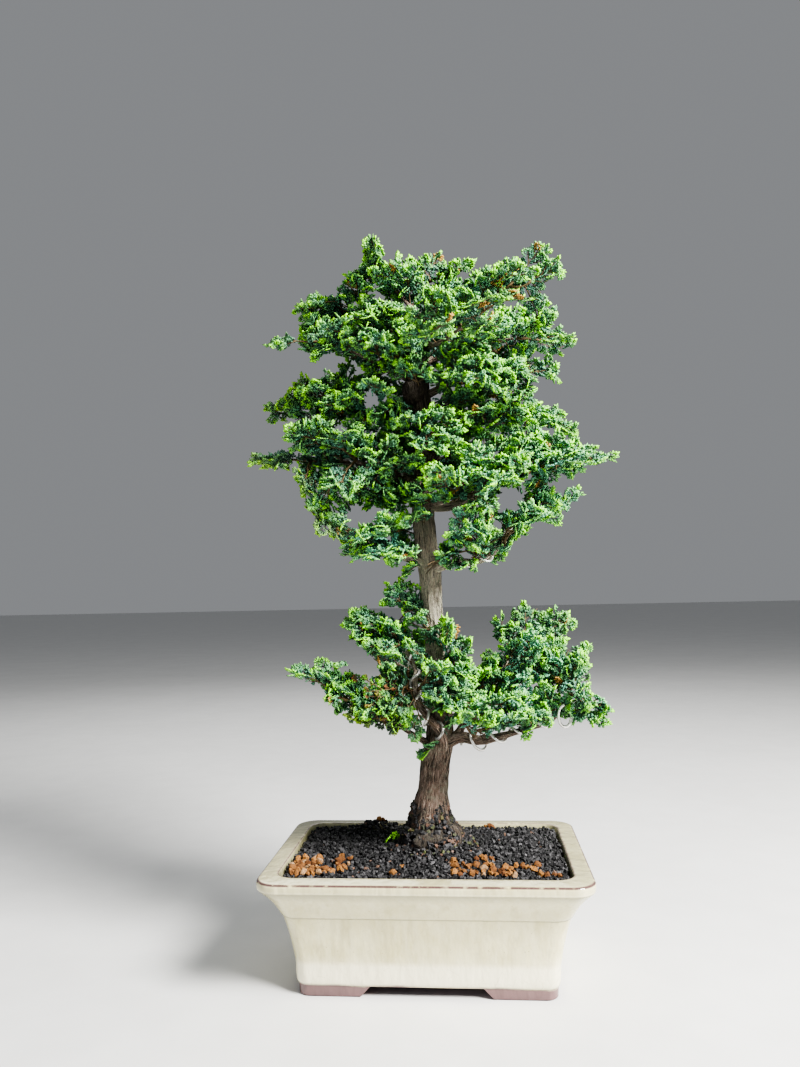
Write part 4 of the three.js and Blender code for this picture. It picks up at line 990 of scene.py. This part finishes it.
def grain_spots(random):
    """Rows of grains all over the soil and more up the trunk's foot: x, y, z and distance from the trunk."""
    spots = []
    pitch, stray = GRAINS["pitch"], GRAINS["stray"]
    for row in range(-30, 31):
        for column in range(-42, 43):
            x = (column + 0.5 * (row % 2)) * pitch + random.uniform(-stray, stray)
            y = row * pitch * 0.9 + random.uniform(-stray, stray)
            away = math.hypot(x - TRUNK[0][0], y - TRUNK[0][1])
            if inside_pot(x, y, SOIL["inset"] + 0.6) and away > BARE_MIDDLE:
                spots.append((x, y, soil_height(x, y) + random.uniform(-0.8, 1.1), away))
    for _ in range(GRAINS["on_foot"]):
        angle, climb = TURN * random.random(), random.random() ** 1.8
        z = lerp(*GRAINS["foot"], climb)
        wide = limb_radius("trunk", (z - TRUNK[0][2]) / LIMBS["trunk"].length) + 0.3
        x = TRUNK[1][0] - 1.5 * climb + wide * math.cos(angle)
        spots.append((x, TRUNK[1][1] + wide * math.sin(angle), z, NEAR_TRUNK))
    return np.array(spots)


def make_soil(finish):
    random = np.random.default_rng(SEEDS["soil"])
    soil = Gathering()
    add_bed(soil)
    spots = grain_spots(random)
    count = len(spots)
    sizes = random.uniform(*GRAINS["size"], (count, 1)) * random.uniform(*GRAINS["shape"], (count, 3))
    matrices = placed(spots[:, :3], sizes, random)
    near = np.clip(1 - (spots[:, 3] - NEAR_TRUNK) / NEAR_TRUNK, 0, 1)
    shades = np.ones((count, 4))
    shades[:, 0] = random.beta(0.7, 2.4, count) + 0.1 * near
    shades[:, 1] = (random.random(count) < 0.015 + 0.12 * near) * 0.5
    shades[:, 2] = (random.random(count) < 0.16 * near) * random.uniform(0.2, 0.8, count)
    soil.add_kinds(grain_shapes(4, 0.55), matrices, shades)
    return finish_piece(soil.mesh("soil_grains", "grains"), [finish], ["soil"], smooth=False)


# Clumps of the larger fired-clay grains: middle, reach to each side and number.
CLUMPS = {
    "orange_granules_left": [
        (-96, -43, 12, 19, 34), (-79, -55, 9, 5, 9), (-65, -37, 6, 17, 11), (-22, -52, 5, 11, 3),
        (-47, 68, 3, 3, 2),
    ],
    "orange_granules_right": [
        (27, -49, 6, 12, 8), (45, -41, 7, 17, 15), (63, -50, 6, 11, 8), (77, -42, 5, 8, 3),
        (50, -57, 18, 4, 8), (95, -60, 9, 3, 4), (86, -36, 2, 2, 1), (51, 70, 3, 3, 2),
    ],
}


def make_orange_grains(finish):
    """Larger fired-clay grains that lie on the soil in clumps, with a few strays."""
    random = np.random.default_rng(SEEDS["orange_grains"])
    for name, clumps in CLUMPS.items():
        patch = Gathering()
        spots = []
        for x, y, reach_x, reach_y, count in clumps:
            wanted = len(spots) + count
            for _ in range(FIRED["tries"]):
                spot = Vector((x + reach_x * random.uniform(-1, 1), y + reach_y * random.uniform(-1, 1), 0))
                radius = random.uniform(*FIRED["size"])
                spot.z = soil_height(spot.x, spot.y) + 0.35 * radius + 0.8
                clear = all((spot - other).length > FIRED["apart"] * (radius + size) for other, size in spots)
                if clear and len(spots) < wanted and inside_pot(spot.x, spot.y, SOIL["inset"] + radius):
                    spots.append((spot, radius))
        count = len(spots)
        sizes = np.array([[radius] * 3 for _, radius in spots]) * random.uniform(*FIRED["shape"], (count, 3))
        matrices = placed(np.array([spot for spot, _ in spots]), sizes, random)
        shades = np.ones((count, 4))
        shades[:, 0] = random.random(count)
        shades[:, 1] = (random.random(count) < 0.12) * 0.7
        patch.add_kinds(chunk_shapes(5), matrices, shades)
        finish_piece(patch.mesh(name + "_fine", "grains"), [finish], [name], smooth=False)


def chunk_shapes(count):
    """A few lumpy chunks of fired clay for copies."""
    shapes = []
    for i in range(count):
        bm = bmesh.new()
        bmesh.ops.create_icosphere(bm, subdivisions=2, radius=1)
        for vert in bm.verts:
            swell = noise.noise(vert.co * 1.1 + Vector((9 * i, 0, 0)))
            vert.co *= 1 + 0.6 * swell + 0.25 * noise.noise(vert.co * 3 + Vector((0, 7 * i, 0)))
        shapes.append(shape_of(bm))
    return shapes


# ---------------------------------------------------------------- wood

# How finely the wood is made: rings along a limb, or the distance between them, and points round it.
TRUNK_RINGS, TRUNK_SIDES = 200, 56
BRANCH_STEP, BRANCH_SIDES = 3.2, 14
STUB_RINGS, STUB_SIDES = 6, 10
LIMBS = {"trunk": Spline(TRUNK)}
LIMBS.update({name: Spline(points) for name, (_, *points) in BRANCHES.items()})


def limb_radius(name, u):
    """Radius of a limb at a place along its length from 0 to 1."""
    if name != "trunk":
        return lerp(BRANCHES[name][0], TIP_RADIUS, u ** 0.8)
    spot = LIMBS["trunk"].share(u) * (len(TRUNK) - 1)
    index = min(int(spot), len(TRUNK) - 2)
    return lerp(TRUNK[index][3], TRUNK[index + 1][3], spot - index)


def furrow(grain, depth):
    """Bark strips that run along the limb: a height from its place on the unrolled wood."""
    broad = noise.noise(Vector((grain.x * 0.3, grain.y * 0.3, grain.z * 0.03)))
    fine = noise.noise(Vector((grain.x * 0.6 + 7, grain.y * 0.6, grain.z * 0.06)))
    return depth * (1.2 * broad - 2.2 * max(0.22 - abs(fine), 0) + 0.4 * fine + 0.2)


def add_trunk(bm, grain):
    """The trunk, with flutes that widen in its root flare, lumps at the foot and strips of bark."""
    trunk = LIMBS["trunk"]
    radii = [limb_radius("trunk", i / TRUNK_RINGS) for i in range(TRUNK_RINGS + 1)]
    rings = grow_limb(bm, frames_along(trunk, TRUNK_RINGS), TRUNK_SIDES, radii, trunk.length)
    for i, ring in enumerate(rings):
        u = i / TRUNK_RINGS
        centre = trunk.place(u)
        flare = max(0, 1 - u / 0.09)
        for vert in ring:
            out = vert.co - centre
            angle = math.atan2(out.x, -out.y)
            flutes = 1 + 0.13 * flare * math.cos(5 * angle + 0.6) + 0.05 * math.cos(3 * angle + 14 * u)
            lumps = 3.2 * clamp(2 * flare) * noise.noise(vert.co * 0.16)
            depth = (furrow(vert[grain], 0.75 + 0.08 * radii[i]) + lumps) / radii[i]
            vert.co = centre + out * (flutes + depth)


def add_branch(bm, grain, name):
    """A branch, thicker where it leaves its limb, with knuckles and finer bark."""
    limb = LIMBS[name]
    steps = round(limb.length / BRANCH_STEP)
    radii = []
    for i in range(steps + 1):
        u = i / steps
        knuckle = 1 + 0.16 * noise.noise(Vector((u * limb.length * 0.11, BRANCHES[name][0], 3)))
        radii.append(limb_radius(name, u) * knuckle * (1 + 0.5 * math.exp(-u * limb.length / 9)))
    rings = grow_limb(bm, frames_along(limb, steps), BRANCH_SIDES, radii, limb.length)
    for i, ring in enumerate(rings):
        centre = limb.place(i / steps)
        for vert in ring:
            vert.co += (vert.co - centre).normalized() * furrow(vert[grain] * 1.6, 0.1 * radii[i])


def make_wood(finish):
    """Trunk, branches, dead stub and healed scar."""
    bm = bmesh.new()
    grain = bm.verts.layers.float_vector.new("grain")
    add_trunk(bm, grain)
    for name in BRANCHES:
        add_branch(bm, grain, name)
    stub = Spline(STUB["points"])
    radii = [lerp(*STUB["radii"], i / STUB_RINGS) for i in range(STUB_RINGS + 1)]
    grow_limb(bm, frames_along(stub, STUB_RINGS), STUB_SIDES, radii, stub.length)
    scar = bmesh.ops.create_icosphere(bm, subdivisions=4, radius=KNOB["radius"])["verts"]
    bmesh.ops.scale(bm, vec=KNOB["stretch"], verts=scar)
    for vert in scar:
        vert[grain] = vert.co
        vert.co *= 1 + 0.16 * noise.noise(vert.co * 0.2) + 0.14 * noise.noise(vert.co * 0.5)
    bmesh.ops.translate(bm, vec=KNOB["place"], verts=scar)
    return finish_piece(mesh_of(bm, "bark_and_branches"), [finish], ["trunk_and_branches"])


def ring_points():
    """Points round the open ring at a wire's end, which steps back as it goes round."""
    across, up = WIRE_RING["half"]
    count = WIRE_RING["points"]
    points = []
    for i in range(2, count + 1):
        angle = math.pi / 2 - TURN * i / count
        step = (across * math.cos(angle), -WIRE_RING["pitch"] * i / count, up * math.sin(angle))
        points.append(Vector(WIRE_RING["centre"]) + Vector(step))
    return points


def make_wires(finish):
    """Wires wound round their branches, each with one turn that sags."""
    for node, branch, start, end, turns, radius, loose in WIRES:
        steps = turns * WINDING["points"]
        points = []
        for i, matrix in enumerate(frames_along(LIMBS[branch], steps, start, end)):
            u = lerp(start, end, i / steps)
            angle = TURN * i / WINDING["points"]
            sag = WINDING["sag"] * math.exp(-((u - loose) / WINDING["sag_reach"]) ** 2)
            away = limb_radius(branch, u) + radius + WINDING["gap"]
            out = matrix.to_3x3() @ Vector((math.cos(angle), math.sin(angle), 0))
            points.append(matrix.translation + out * (away + sag * clamp(-out.z)))
        if branch == WIRE_RING["branch"]:
            points += ring_points()
        route = Spline(points, 4 * len(points))
        bm = bmesh.new()
        radii = [radius] * (2 * steps + 1)
        grow_limb(bm, frames_along(route, 2 * steps), WINDING["sides"], radii, route.length)
        finish_piece(mesh_of(bm, node + "_wound"), [finish], [node])


# ---------------------------------------------------------------- foliage


def blade(frond):
    """The curved surface that a frond lies on: a place for u along it and v across it."""
    curl = FROND["curl"] * (0.3 + draw(*frond["keys"], 21))
    cup = FROND["cup"] * (0.3 + draw(*frond["keys"], 22))
    ahead, side, up = frond["frame"]

    def place(u, v, lift=0.0):
        height = lift - (curl * u * abs(u) + cup * v * v) / frond["length"]
        return frond["at"] + ahead * u + side * v + up * height

    return place


def lobes(frond):
    """Root and tip of each of the frond's side shoots, as (u, v, lift)."""
    length, keys = frond["length"], frond["keys"]
    found = []
    for i in (1, 2):
        for which, hand in enumerate((-1, 1)):
            spread = length * FROND["reach"][i - 1] * lerp(0.85, 1.15, draw(*keys, 30 + i, which))
            lift = length * FROND["ruffle"] * (2 * draw(*keys, 33 + i, which) - 1)
            start = length * lerp(FROND["notches"][i - 1], FROND["notches"][i], 0.35)
            end = length * (FROND["notches"][i] + FROND["slant"])
            found.append(((start, 0, 0), (end, hand * spread, lift)))
    return found


def shoot_of(root, leaving, place, keys, forked=None, side=None):
    """A shoot: its centre line, the plane that it lies in, and the fronds along it from the tip back."""
    tip = Vector(place[:3])
    slim = place[3] if len(place) > 3 else 1
    way = (tip - root).normalized()
    plane = side or way.cross(leaving)
    if not side and plane.length < 0.3:
        plane = UP - way * way.z
    if not side and plane.dot(forked or UP) < 0:
        plane.negate()
    plane = (plane.normalized() + (forked or plane.normalized()) * STEM["blend"]).normalized()
    reach = (tip - root).length
    end = root.lerp(tip, max(1 - FROND["length"] * lerp(0.5, 1, slim) / reach, STEM["share"]))
    middle = root.lerp(end, 0.5) + leaving * STEM["bow"] * (end - root).length
    curve = Spline([root, middle, end], 60)
    fronds = [{"at": end, "forward": tip - end, "length": (tip - end).length}]
    count = int(clamp(math.floor(curve.length / STEM["pitch"] + 0.5), 1, 2))
    for i in range(1, count + 1):
        u = 1 - i * (0.5 - 0.1 * count)
        ahead, side, _ = frame_of(curve.tangent(u), plane)
        hand = 1 if (i + keys[0]) % 2 else -1
        lean = math.radians(lerp(*STEM["lean"], draw(*keys, 14, i)))
        length = min(FROND["length"] * lerp(*STEM["side"], draw(*keys, 15, i)), reach + STEM["spare"])
        fronds.append({"at": curve.place(u), "forward": ahead * math.cos(lean) + side * hand * math.sin(lean),
                       "length": slim * length})
    for i, frond in enumerate(fronds):
        roll = math.radians(STEM["roll"] * (2 * draw(*keys, 16, i) - 1))
        frond["plane"] = turned(plane, frond["forward"].normalized(), roll)
        frond["keys"] = (*keys, 40 + i)
    return {"curve": curve, "plane": plane, "fronds": fronds}


def distance_to(surface, points):
    return sum(surface.find_nearest(point)[3] for point in points) / len(points)


def seated(frond, surface):
    """The frond in the bend that the frame gave it, or nothing where it has none, and how well it fits."""
    best, nearest = None, BEND["furthest"]
    ahead, side, up = frame_of(frond["forward"], frond["plane"])
    for size in BEND["sizes"]:
        for lift in BEND["lifts"]:
            for swing in BEND["swings"]:
                forward = turned(turned(ahead, side, math.radians(-lift)), up, math.radians(swing))
                bent = dict(frond, frame=frame_of(forward, turned(up, side, math.radians(-lift))),
                            length=frond["length"] * size)
                place = blade(bent)
                marks = [place(bent["length"], 0)] + [place(*tip) for _, tip in lobes(bent)]
                away = distance_to(surface, marks)
                if away < nearest:
                    best, nearest = bent, away
    return best, nearest


def fitted(surface, root, leaving, place, keys, forked=None):
    """A shoot with its fronds seated, in the one of its possible planes that fits the frame best."""
    way = (Vector(place[:3]) - root).normalized()
    across = way.cross(leaving)
    best, nearest = None, math.inf
    for side in (None, across, -across, UP - way * way.z):
        shoot = shoot_of(root, leaving, place, keys, forked, side)
        seats = [seated(frond, surface) for frond in shoot["fronds"]]
        shoot["fronds"] = [bent for bent, _ in seats if bent]
        away = max(off for _, off in seats)
        if away < nearest:
            best, nearest = shoot, away
        if nearest < BEND["near"]:
            break
    return best


def plan_spray(index, branch, t, tips, surface):
    """The one or two shoots of a spray, as they lie in the frame."""
    limb = LIMBS[branch]
    centre, along = limb.place(t), limb.tangent(t)
    first = Vector(tips[0][:3])
    away = along if t == 1 else (first - centre - along * (first - centre).dot(along)).normalized()
    skin = 0.3 if t == 1 else limb_radius(branch, t)
    spots = (0.1, 0.35, 0.6, 0.85)

    def stem_fit(candidate):
        curve = shoot_of(*candidate)["curve"]
        return distance_to(surface, [curve.at(spot) for spot in spots])

    starts = [(centre + away * (skin + STEM["step"] * i), away, tips[0], (index, 0)) for i in range(16)]
    main = fitted(surface, *min(starts, key=stem_fit))
    if len(tips) == 1:
        return [main]
    forks = []
    for t in STEM["forks"]:
        side = frame_of(main["curve"].tangent(t), main["plane"])[1]
        hand = 1 if side.dot(Vector(tips[1][:3]) - first) > 0 else -1
        root = main["curve"].place(t) + side * hand * STEM["half_width"]
        forks.append((root, side * hand, tips[1], (index, 1), main["plane"]))
    return [main, fitted(surface, *min(forks, key=stem_fit))]


def leaf_shape():
    """One branchlet of scale leaves, one long: a flattened, keeled kite, for copies."""
    bm = bmesh.new()
    corners = ((0, 0, 0.35), (1, 0, 0.25), (0.68, 0.5, -0.3), (0.68, -0.5, -0.3))
    bmesh.ops.convex_hull(bm, input=[bm.verts.new(corner) for corner in corners])
    bmesh.ops.recalc_face_normals(bm, faces=bm.faces)
    return shape_of(bm)


def fan_plan():
    """The branchlets of one fan, in its own plane: start, angle, length and width, for a fan one long."""
    plan = [(0, 0, 0, 0.6, 0.2), (0.48, 0, 4, 0.52, 0.25), (0.58, 0, 36, 0.36, 0.24),
            (0.54, 0, -38, 0.38, 0.24)]
    for x, angle, length in ((0.08, 62, 0.6), (0.2, -58, 0.62), (0.34, 50, 0.56), (0.44, -46, 0.46)):
        lean = math.radians(angle)
        ahead = np.array([math.cos(lean), math.sin(lean)])
        for share, turn, part in ((0.1, 0, 0.66), (0.5, 6, 0.54), (0.34, 46, 0.46), (0.46, -42, 0.48)):
            start = np.array([x, 0]) + ahead * length * share
            plan.append((*start, angle + turn, part * length, 0.22))
    return np.array(plan)


FAN = fan_plan()
LEAF = leaf_shape()


def fan_matrices(at, axes, size, random):
    """A matrix for each branchlet of each fan, every fan cupped its own way, and how far out each one is."""
    count = len(size)
    cup = random.normal(0.25, 0.55, count)[:, None]
    plan = np.tile(FAN, (count, 1, 1))
    plan[:, :, 1] *= random.choice([-1, 1], count)[:, None]
    plan[:, :, 2] *= np.sign(random.random(count) - 0.5)[:, None]
    plan[:, :, 2] += random.normal(0, 7, plan.shape[:2])
    plan[:, :, 3] *= random.uniform(0.85, 1.15, plan.shape[:2])
    flat, lean, length, width = plan[:, :, :2], np.radians(plan[:, :, 2]), plan[:, :, 3:4], plan[:, :, 4:5]
    ahead = np.stack([np.cos(lean), np.sin(lean)], axis=2)
    bowl = np.stack([1.1 * cup, 2.0 * cup], axis=2)
    middle = flat + ahead * length * 0.5
    rise = (bowl * middle * ahead).sum(axis=2)
    forward = np.concatenate([ahead, rise[:, :, None]], axis=2)
    forward /= np.linalg.norm(forward, axis=2)[:, :, None]
    up = np.concatenate([-bowl * flat, np.ones(length.shape)], axis=2)
    up += random.normal(0, 0.28, up.shape)
    side = np.cross(up, forward)
    side /= np.linalg.norm(side, axis=2)[:, :, None]
    up = np.cross(forward, side)
    local = np.stack([forward * length, side * width, up * 0.13], axis=3)
    height = cup * (0.55 * flat[:, :, 0] ** 2 + flat[:, :, 1] ** 2)
    start = np.concatenate([flat, height[:, :, None]], axis=2)
    matrices = np.zeros((count, len(FAN), 4, 4))
    matrices[:, :, :3, :3] = np.einsum("nji,nkjl->nkil", axes, local) * size[:, None, None, None]
    matrices[:, :, :3, 3] = at[:, None, :] + np.einsum("nji,nkj->nki", axes, start) * size[:, None, None]
    return matrices.reshape(-1, 4, 4), np.linalg.norm(middle, axis=2)


def add_fans(spray, fans, bloom, random, bronze=0.0):
    """Fans of branchlets, each cupped and tinted its own way."""
    count, size = len(fans), np.array([fan[2] for fan in fans])
    at = np.array([fan[0] for fan in fans])
    axes = np.array([[list(axis) for axis in fan[1]] for fan in fans])
    fresh = np.array([fan[3] for fan in fans])
    dead = random.random(count) < 0.02 * (fresh < 0.45)
    matrices, outer = fan_matrices(at, axes, size, random)
    along = LEAF[0][:, 0]
    tint = np.ones((count, len(FAN), len(along), 4))
    edge = np.clip(outer - 0.35, 0, 1)[:, :, None] + 0.35 * along
    tint[..., 0] = np.clip(fresh[:, None, None] * edge * 2 - 0.2, 0, 1)
    # Darker deeper in the spray and towards a branchlet's base: partly the older leaves' own darker green,
    # partly painted shade.
    shade = 0.25 + 0.4 * fresh[:, None] + random.normal(0, 0.2, (count, len(FAN)))
    tint[..., 1] = np.clip(shade[:, :, None] + 0.3 * along - 0.1, 0, 1)
    waxy = (0.05 + bloom) * random.uniform(0, 1.1, count)[:, None, None]
    tint[..., 2] = np.clip(waxy * (0.4 + 0.8 * along), 0, 1)
    tint[..., 3] = np.maximum(dead * 0.9, bronze * random.uniform(0.4, 1.3, count))[:, None, None]
    tint[dead, :, :, 0] = 1
    spray.add_copies(LEAF, matrices, tint)


def fan_at(point, ahead, up, hand, lean, size, fresh, random, roll=52):
    """A fan that leaves a twig to one side, rolled and tilted a little by chance."""
    forward, side, up = frame_of(ahead, up)
    angle = math.radians(lean + random.normal(0, 9)) * hand
    forward = forward * math.cos(angle) + side * math.sin(angle)
    forward = turned(forward, side, math.radians(random.normal(-8, 16)))
    up = turned(up, forward, math.radians(random.normal(0, roll)))
    return point, frame_of(forward, up), size * random.uniform(0.85, 1.15), fresh


# Places that are kept open, so that they show from the front: a limb, the stretch of it and the room it has.
CLEARINGS = [("wiredLeft", 0, 0.78, 8), ("wiredRight", 0.02, 0.34, 7), ("trunk", 0.41, 0.53, 9),
             ("darkRight", 0.06, 0.5, 5), ("midLeft", 0.1, 0.3, 4), ("midLeft", 0.6, 0.7, 6),
             ("rightArm", 0.78, 0.9, 5)]
MARK_STEP = 4


def covers(points, marks):
    """Which of the points stand before one of the marks, or within its room, as seen from the front."""
    eye = np.array(bpy.context.scene.camera.matrix_world.translation) / MM
    rays = np.array(points) - eye
    near = np.linalg.norm(rays, axis=1)
    found = np.zeros(len(points), bool)
    for mark, room in marks:
        beyond = np.array(mark) - eye
        off = np.linalg.norm(np.cross(rays / near[:, None], beyond), axis=1)
        found |= (near < np.linalg.norm(beyond)) & (off < room)
    return found


def pruned(fans, bm):
    """The fans that leave the openings, the clearings and the scar in sight; openings cut twigs as well."""
    openings = [((x, BEHIND, z), room) for x, z, room in OPENINGS]
    marks = openings + [(KNOB["place"], KNOB["room"])]
    for name, start, end, room in CLEARINGS:
        steps = math.ceil(LIMBS[name].length * (end - start) / MARK_STEP)
        marks += [(LIMBS[name].place(lerp(start, end, i / steps)), room) for i in range(steps + 1)]
    cut = covers([vert.co for vert in bm.verts], openings)
    bmesh.ops.delete(bm, geom=[vert for vert, gone in zip(bm.verts, cut) if gone], context="VERTS")
    hidden = covers([fan[0] + fan[1][0] * 0.5 * fan[2] for fan in fans], marks)
    return [fan for fan, gone in zip(fans, hidden) if not gone]


# How the rib of a frond and its side twigs are grown: girth, rings, the share that is wood, where the fans
# start and how far they go on, and how fresh the first of them is.
RIB = {"girth": 1.0, "steps": 5, "reach": 1.0, "start": 0.16, "stretch": 0.8, "fresh": 0.08}
SIDE_TWIG = {"girth": 0.7, "steps": 3, "reach": 0.8, "start": 0.3, "stretch": 0.66, "fresh": 0.24}
TWIG_TINT = (0.1, 0.3, 0, 0.85)
TOWARDS_FRONT = Vector((0.2, -0.8, 0.6))


def dress_frond(frond, bm, random, roll=52, comb=1.0):
    """Fans along the rib and side twigs of one frond, and the twigs themselves; a plume's fans are combed."""
    place, length, up = blade(frond), frond["length"], frond["frame"][2]
    twigs = [(Spline([place(length * u, 0) for u in (0, 0.3, 0.6, 0.88)], 20), RIB)]
    for start, tip in lobes(frond):
        middle = tuple(lerp(a, b, 0.5) * (1.08 if i == 1 else 1) for i, (a, b) in enumerate(zip(start, tip)))
        twigs.append((Spline([place(*start), place(*middle), place(*tip)], 12), SIDE_TWIG))
    size = (FANS["size"] + FANS["growth"] * length) * (0.3 + 0.7 * comb)
    lean = FANS["lean"] - FANS["combed"] * comb
    fans = []
    for which, (twig, habit) in enumerate(twigs):
        steps, reach = habit["steps"], habit["reach"]
        radii = [lerp(0.65 * habit["girth"], 0.3, i / steps) for i in range(steps + 1)]
        grow_limb(bm, frames_along(twig, steps, 0, reach), 4, radii, twig.length, closed=False)
        count = max(2, round(twig.length / (FANS["pitch"] * comb)))
        for i in range(count):
            u = habit["start"] + i / count * habit["stretch"]
            fresh = habit["fresh"] + FANS["fresher"] * u
            hand = 1 if (i + which) % 2 else -1
            fans.append(fan_at(twig.place(u), twig.tangent(u), up, hand, lean, size * lerp(1, 0.85, u), fresh,
                               random, roll))
        fans.append(fan_at(twig.place(reach * 0.82), twig.tangent(0.8), up, 1, 0, size * 0.95, 1.0,
                           random, roll))
    return fans


def reaching(start, tip, up, keys):
    """A frond from one place to another, with the side of it that faces up."""
    forward = Vector(tip) - start
    return {"at": start, "length": forward.length, "frame": frame_of(forward, up), "keys": keys}


def finish_leaves(name, fans, bm, bloom, random, finish, nodes=(), bronze=0.0):
    """A piece of foliage from its fans and its twigs."""
    leaves = Gathering()
    bmesh.ops.recalc_face_normals(bm, faces=bm.faces)
    leaves.add_bmesh(bm, TWIG_TINT)
    add_fans(leaves, fans, bloom, random, bronze)
    finish_piece(leaves.mesh(name, "growth"), [finish], nodes)


def make_sprig(finish):
    """A pale sprig that grows out of the soil on the left of the trunk."""
    random = np.random.default_rng(SEEDS["sprig"])
    sprig = Gathering()
    fans = []
    for x, y, reach in ((-33, 12, 12), (-29, 8, 9), (-37, 14, 9), (-31, 16, 7), (-26, 4, 7)):
        point = Vector((x, y, soil_height(x, y)))
        ahead = Vector((random.normal(0, 0.4), random.normal(-0.2, 0.3), 1))
        fans.append(fan_at(point, ahead, Vector((0.2, -1, 0.2)), 1, 0, reach, 1.0, random))
    add_fans(sprig, fans, 0.1, random)
    finish_piece(sprig.mesh("sprig_on_soil", "growth"), [finish])


def make_dry_twigs(finish):
    """Two dried shoots that hang from the wired branch on the left."""
    random = np.random.default_rng(SEEDS["dry_twigs"])
    bm = bmesh.new()
    fans = []
    start = LIMBS["wiredLeft"].place(0.56)
    for i, tip in enumerate(((-47, -46, 228), (-36, -50, 219))):
        shoot = dress_frond(reaching(start, tip, TOWARDS_FRONT, (99, 9, i)), bm, random, 40, 0.6)
        fans += [(point, axes, 0.7 * size, 1.0) for point, axes, size, _ in shoot[::3]]
    finish_leaves("dry_twigs_left", fans, bm, 0.1, random, finish, bronze=1.2)


def side_shoot(branch, u, i, length, rise, keys, random):
    """A frond that leaves a limb: round the trunk by turns, and left and right of a branch."""
    limb = LIMBS[branch]
    if branch == "trunk":
        angle = SHOOT["round"] * i
        forward = Vector((math.cos(angle), math.sin(angle), 0)) + UP * SHOOT["rise"]
    else:
        along = limb.tangent(u)
        side = UP.cross(along).normalized() * (1 if i % 2 else -1)
        lean = math.radians(random.uniform(*SHOOT["lean"]))
        forward = along * math.cos(lean) + side * math.sin(lean)
        forward = forward + UP * math.tan(math.radians(rise + random.normal(0, SHOOT["stray"])))
    forward.normalize()
    size = length * random.uniform(*SHOOT["size"]) * (SHOOT["first"] if i == 0 else 1)
    up = turned(UP, forward, math.radians(random.normal(0, SHOOT["roll"])))
    return {"at": limb.place(u) + forward * limb_radius(branch, u), "length": size,
            "frame": frame_of(forward, up), "keys": keys}


def clothe_limbs(finish):
    """Side shoots of foliage along the limbs, between the sprays."""
    for index, (name, (start, end, count, length, rise)) in enumerate(CLOTHED.items()):
        branch = "trunk" if name.endswith("trunk") else name
        random = np.random.default_rng(SEEDS["side_shoots"] + index)
        bm = bmesh.new()
        fans = []
        for i in range(count):
            u = lerp(start, end, (i + 0.5) / count)
            frond = side_shoot(branch, u, i, length, rise, (index, 7, i), random)
            fans += dress_frond(frond, bm, random)
        for i, (u, tip) in enumerate(CLOSING.get(name, ())):
            root = LIMBS[branch].place(u)
            forward = (Vector(tip) - root).normalized()
            flat = TOWARDS_FRONT if abs(forward.y) < 0.75 else UP
            up = turned(flat, forward, random.normal(0, 0.5))
            fans += dress_frond(reaching(root, tip, up, (index, 8, i)), bm, random)
        finish_leaves("leaves_along_" + name, pruned(fans, bm), bm, 0.35, random, finish)


def make_foliage(finish):
    """The sprays, each in the place and the bend that its node in the frame has."""
    for index, (name, branch, t, bloom, *tips) in enumerate(SPRAYS):
        node = "foliage_" + name
        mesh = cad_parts[node].data
        surface = BVHTree.FromPolygons([vert.co / MM for vert in mesh.vertices],
                                       [face.vertices[:] for face in mesh.polygons])
        random = np.random.default_rng(SEEDS["sprays"] + index)
        roll, comb = (20, 0.8) if name in PLUMES else (lerp(58, 38, bloom), 1)
        bm = bmesh.new()
        fans = []
        for shoot in plan_spray(index, branch, t, tips, surface):
            stem = shoot["curve"]
            steps = max(4, round(stem.length / STEM["ring"]))
            radii = [lerp(*STEM["girth"], i / steps) for i in range(steps + 1)]
            grow_limb(bm, frames_along(stem, steps), 6, radii, stem.length)
            count = max(2, round(stem.length / STEM["fan_pitch"]))
            for i in range(count):
                u = 0.12 + 0.83 * i / count
                hand = 1 if i % 2 else -1
                fans.append(fan_at(stem.place(u), stem.tangent(u), shoot["plane"], hand, STEM["fan_lean"],
                                   STEM["fan"], STEM["fresh"], random))
            for frond in shoot["fronds"]:
                fans += dress_frond(frond, bm, random, roll, comb)
        finish_leaves("spray_" + name, pruned(fans, bm), bm, bloom, random, finish, [node],
                      BRONZED.get(name, 0))


# ---------------------------------------------------------------- the object

MOTTLE = make_mottle()
SPECKLE = make_speckle()

set_camera()
lay_floor()
light_studio()
make_pot(glaze_finish(), bare_clay_finish())
make_soil(soil_finish())
make_orange_grains(fired_finish())
make_wood(bark_finish())
make_wires(wire_finish())
leaves = foliage_finish()
make_foliage(leaves)
clothe_limbs(leaves)
make_sprig(leaves)
make_dry_twigs(leaves)
net = net_finish()
for side in ("left", "right"):
    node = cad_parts["drain_net_" + side]
    node.data.materials.clear()
    node.data.materials.append(net)
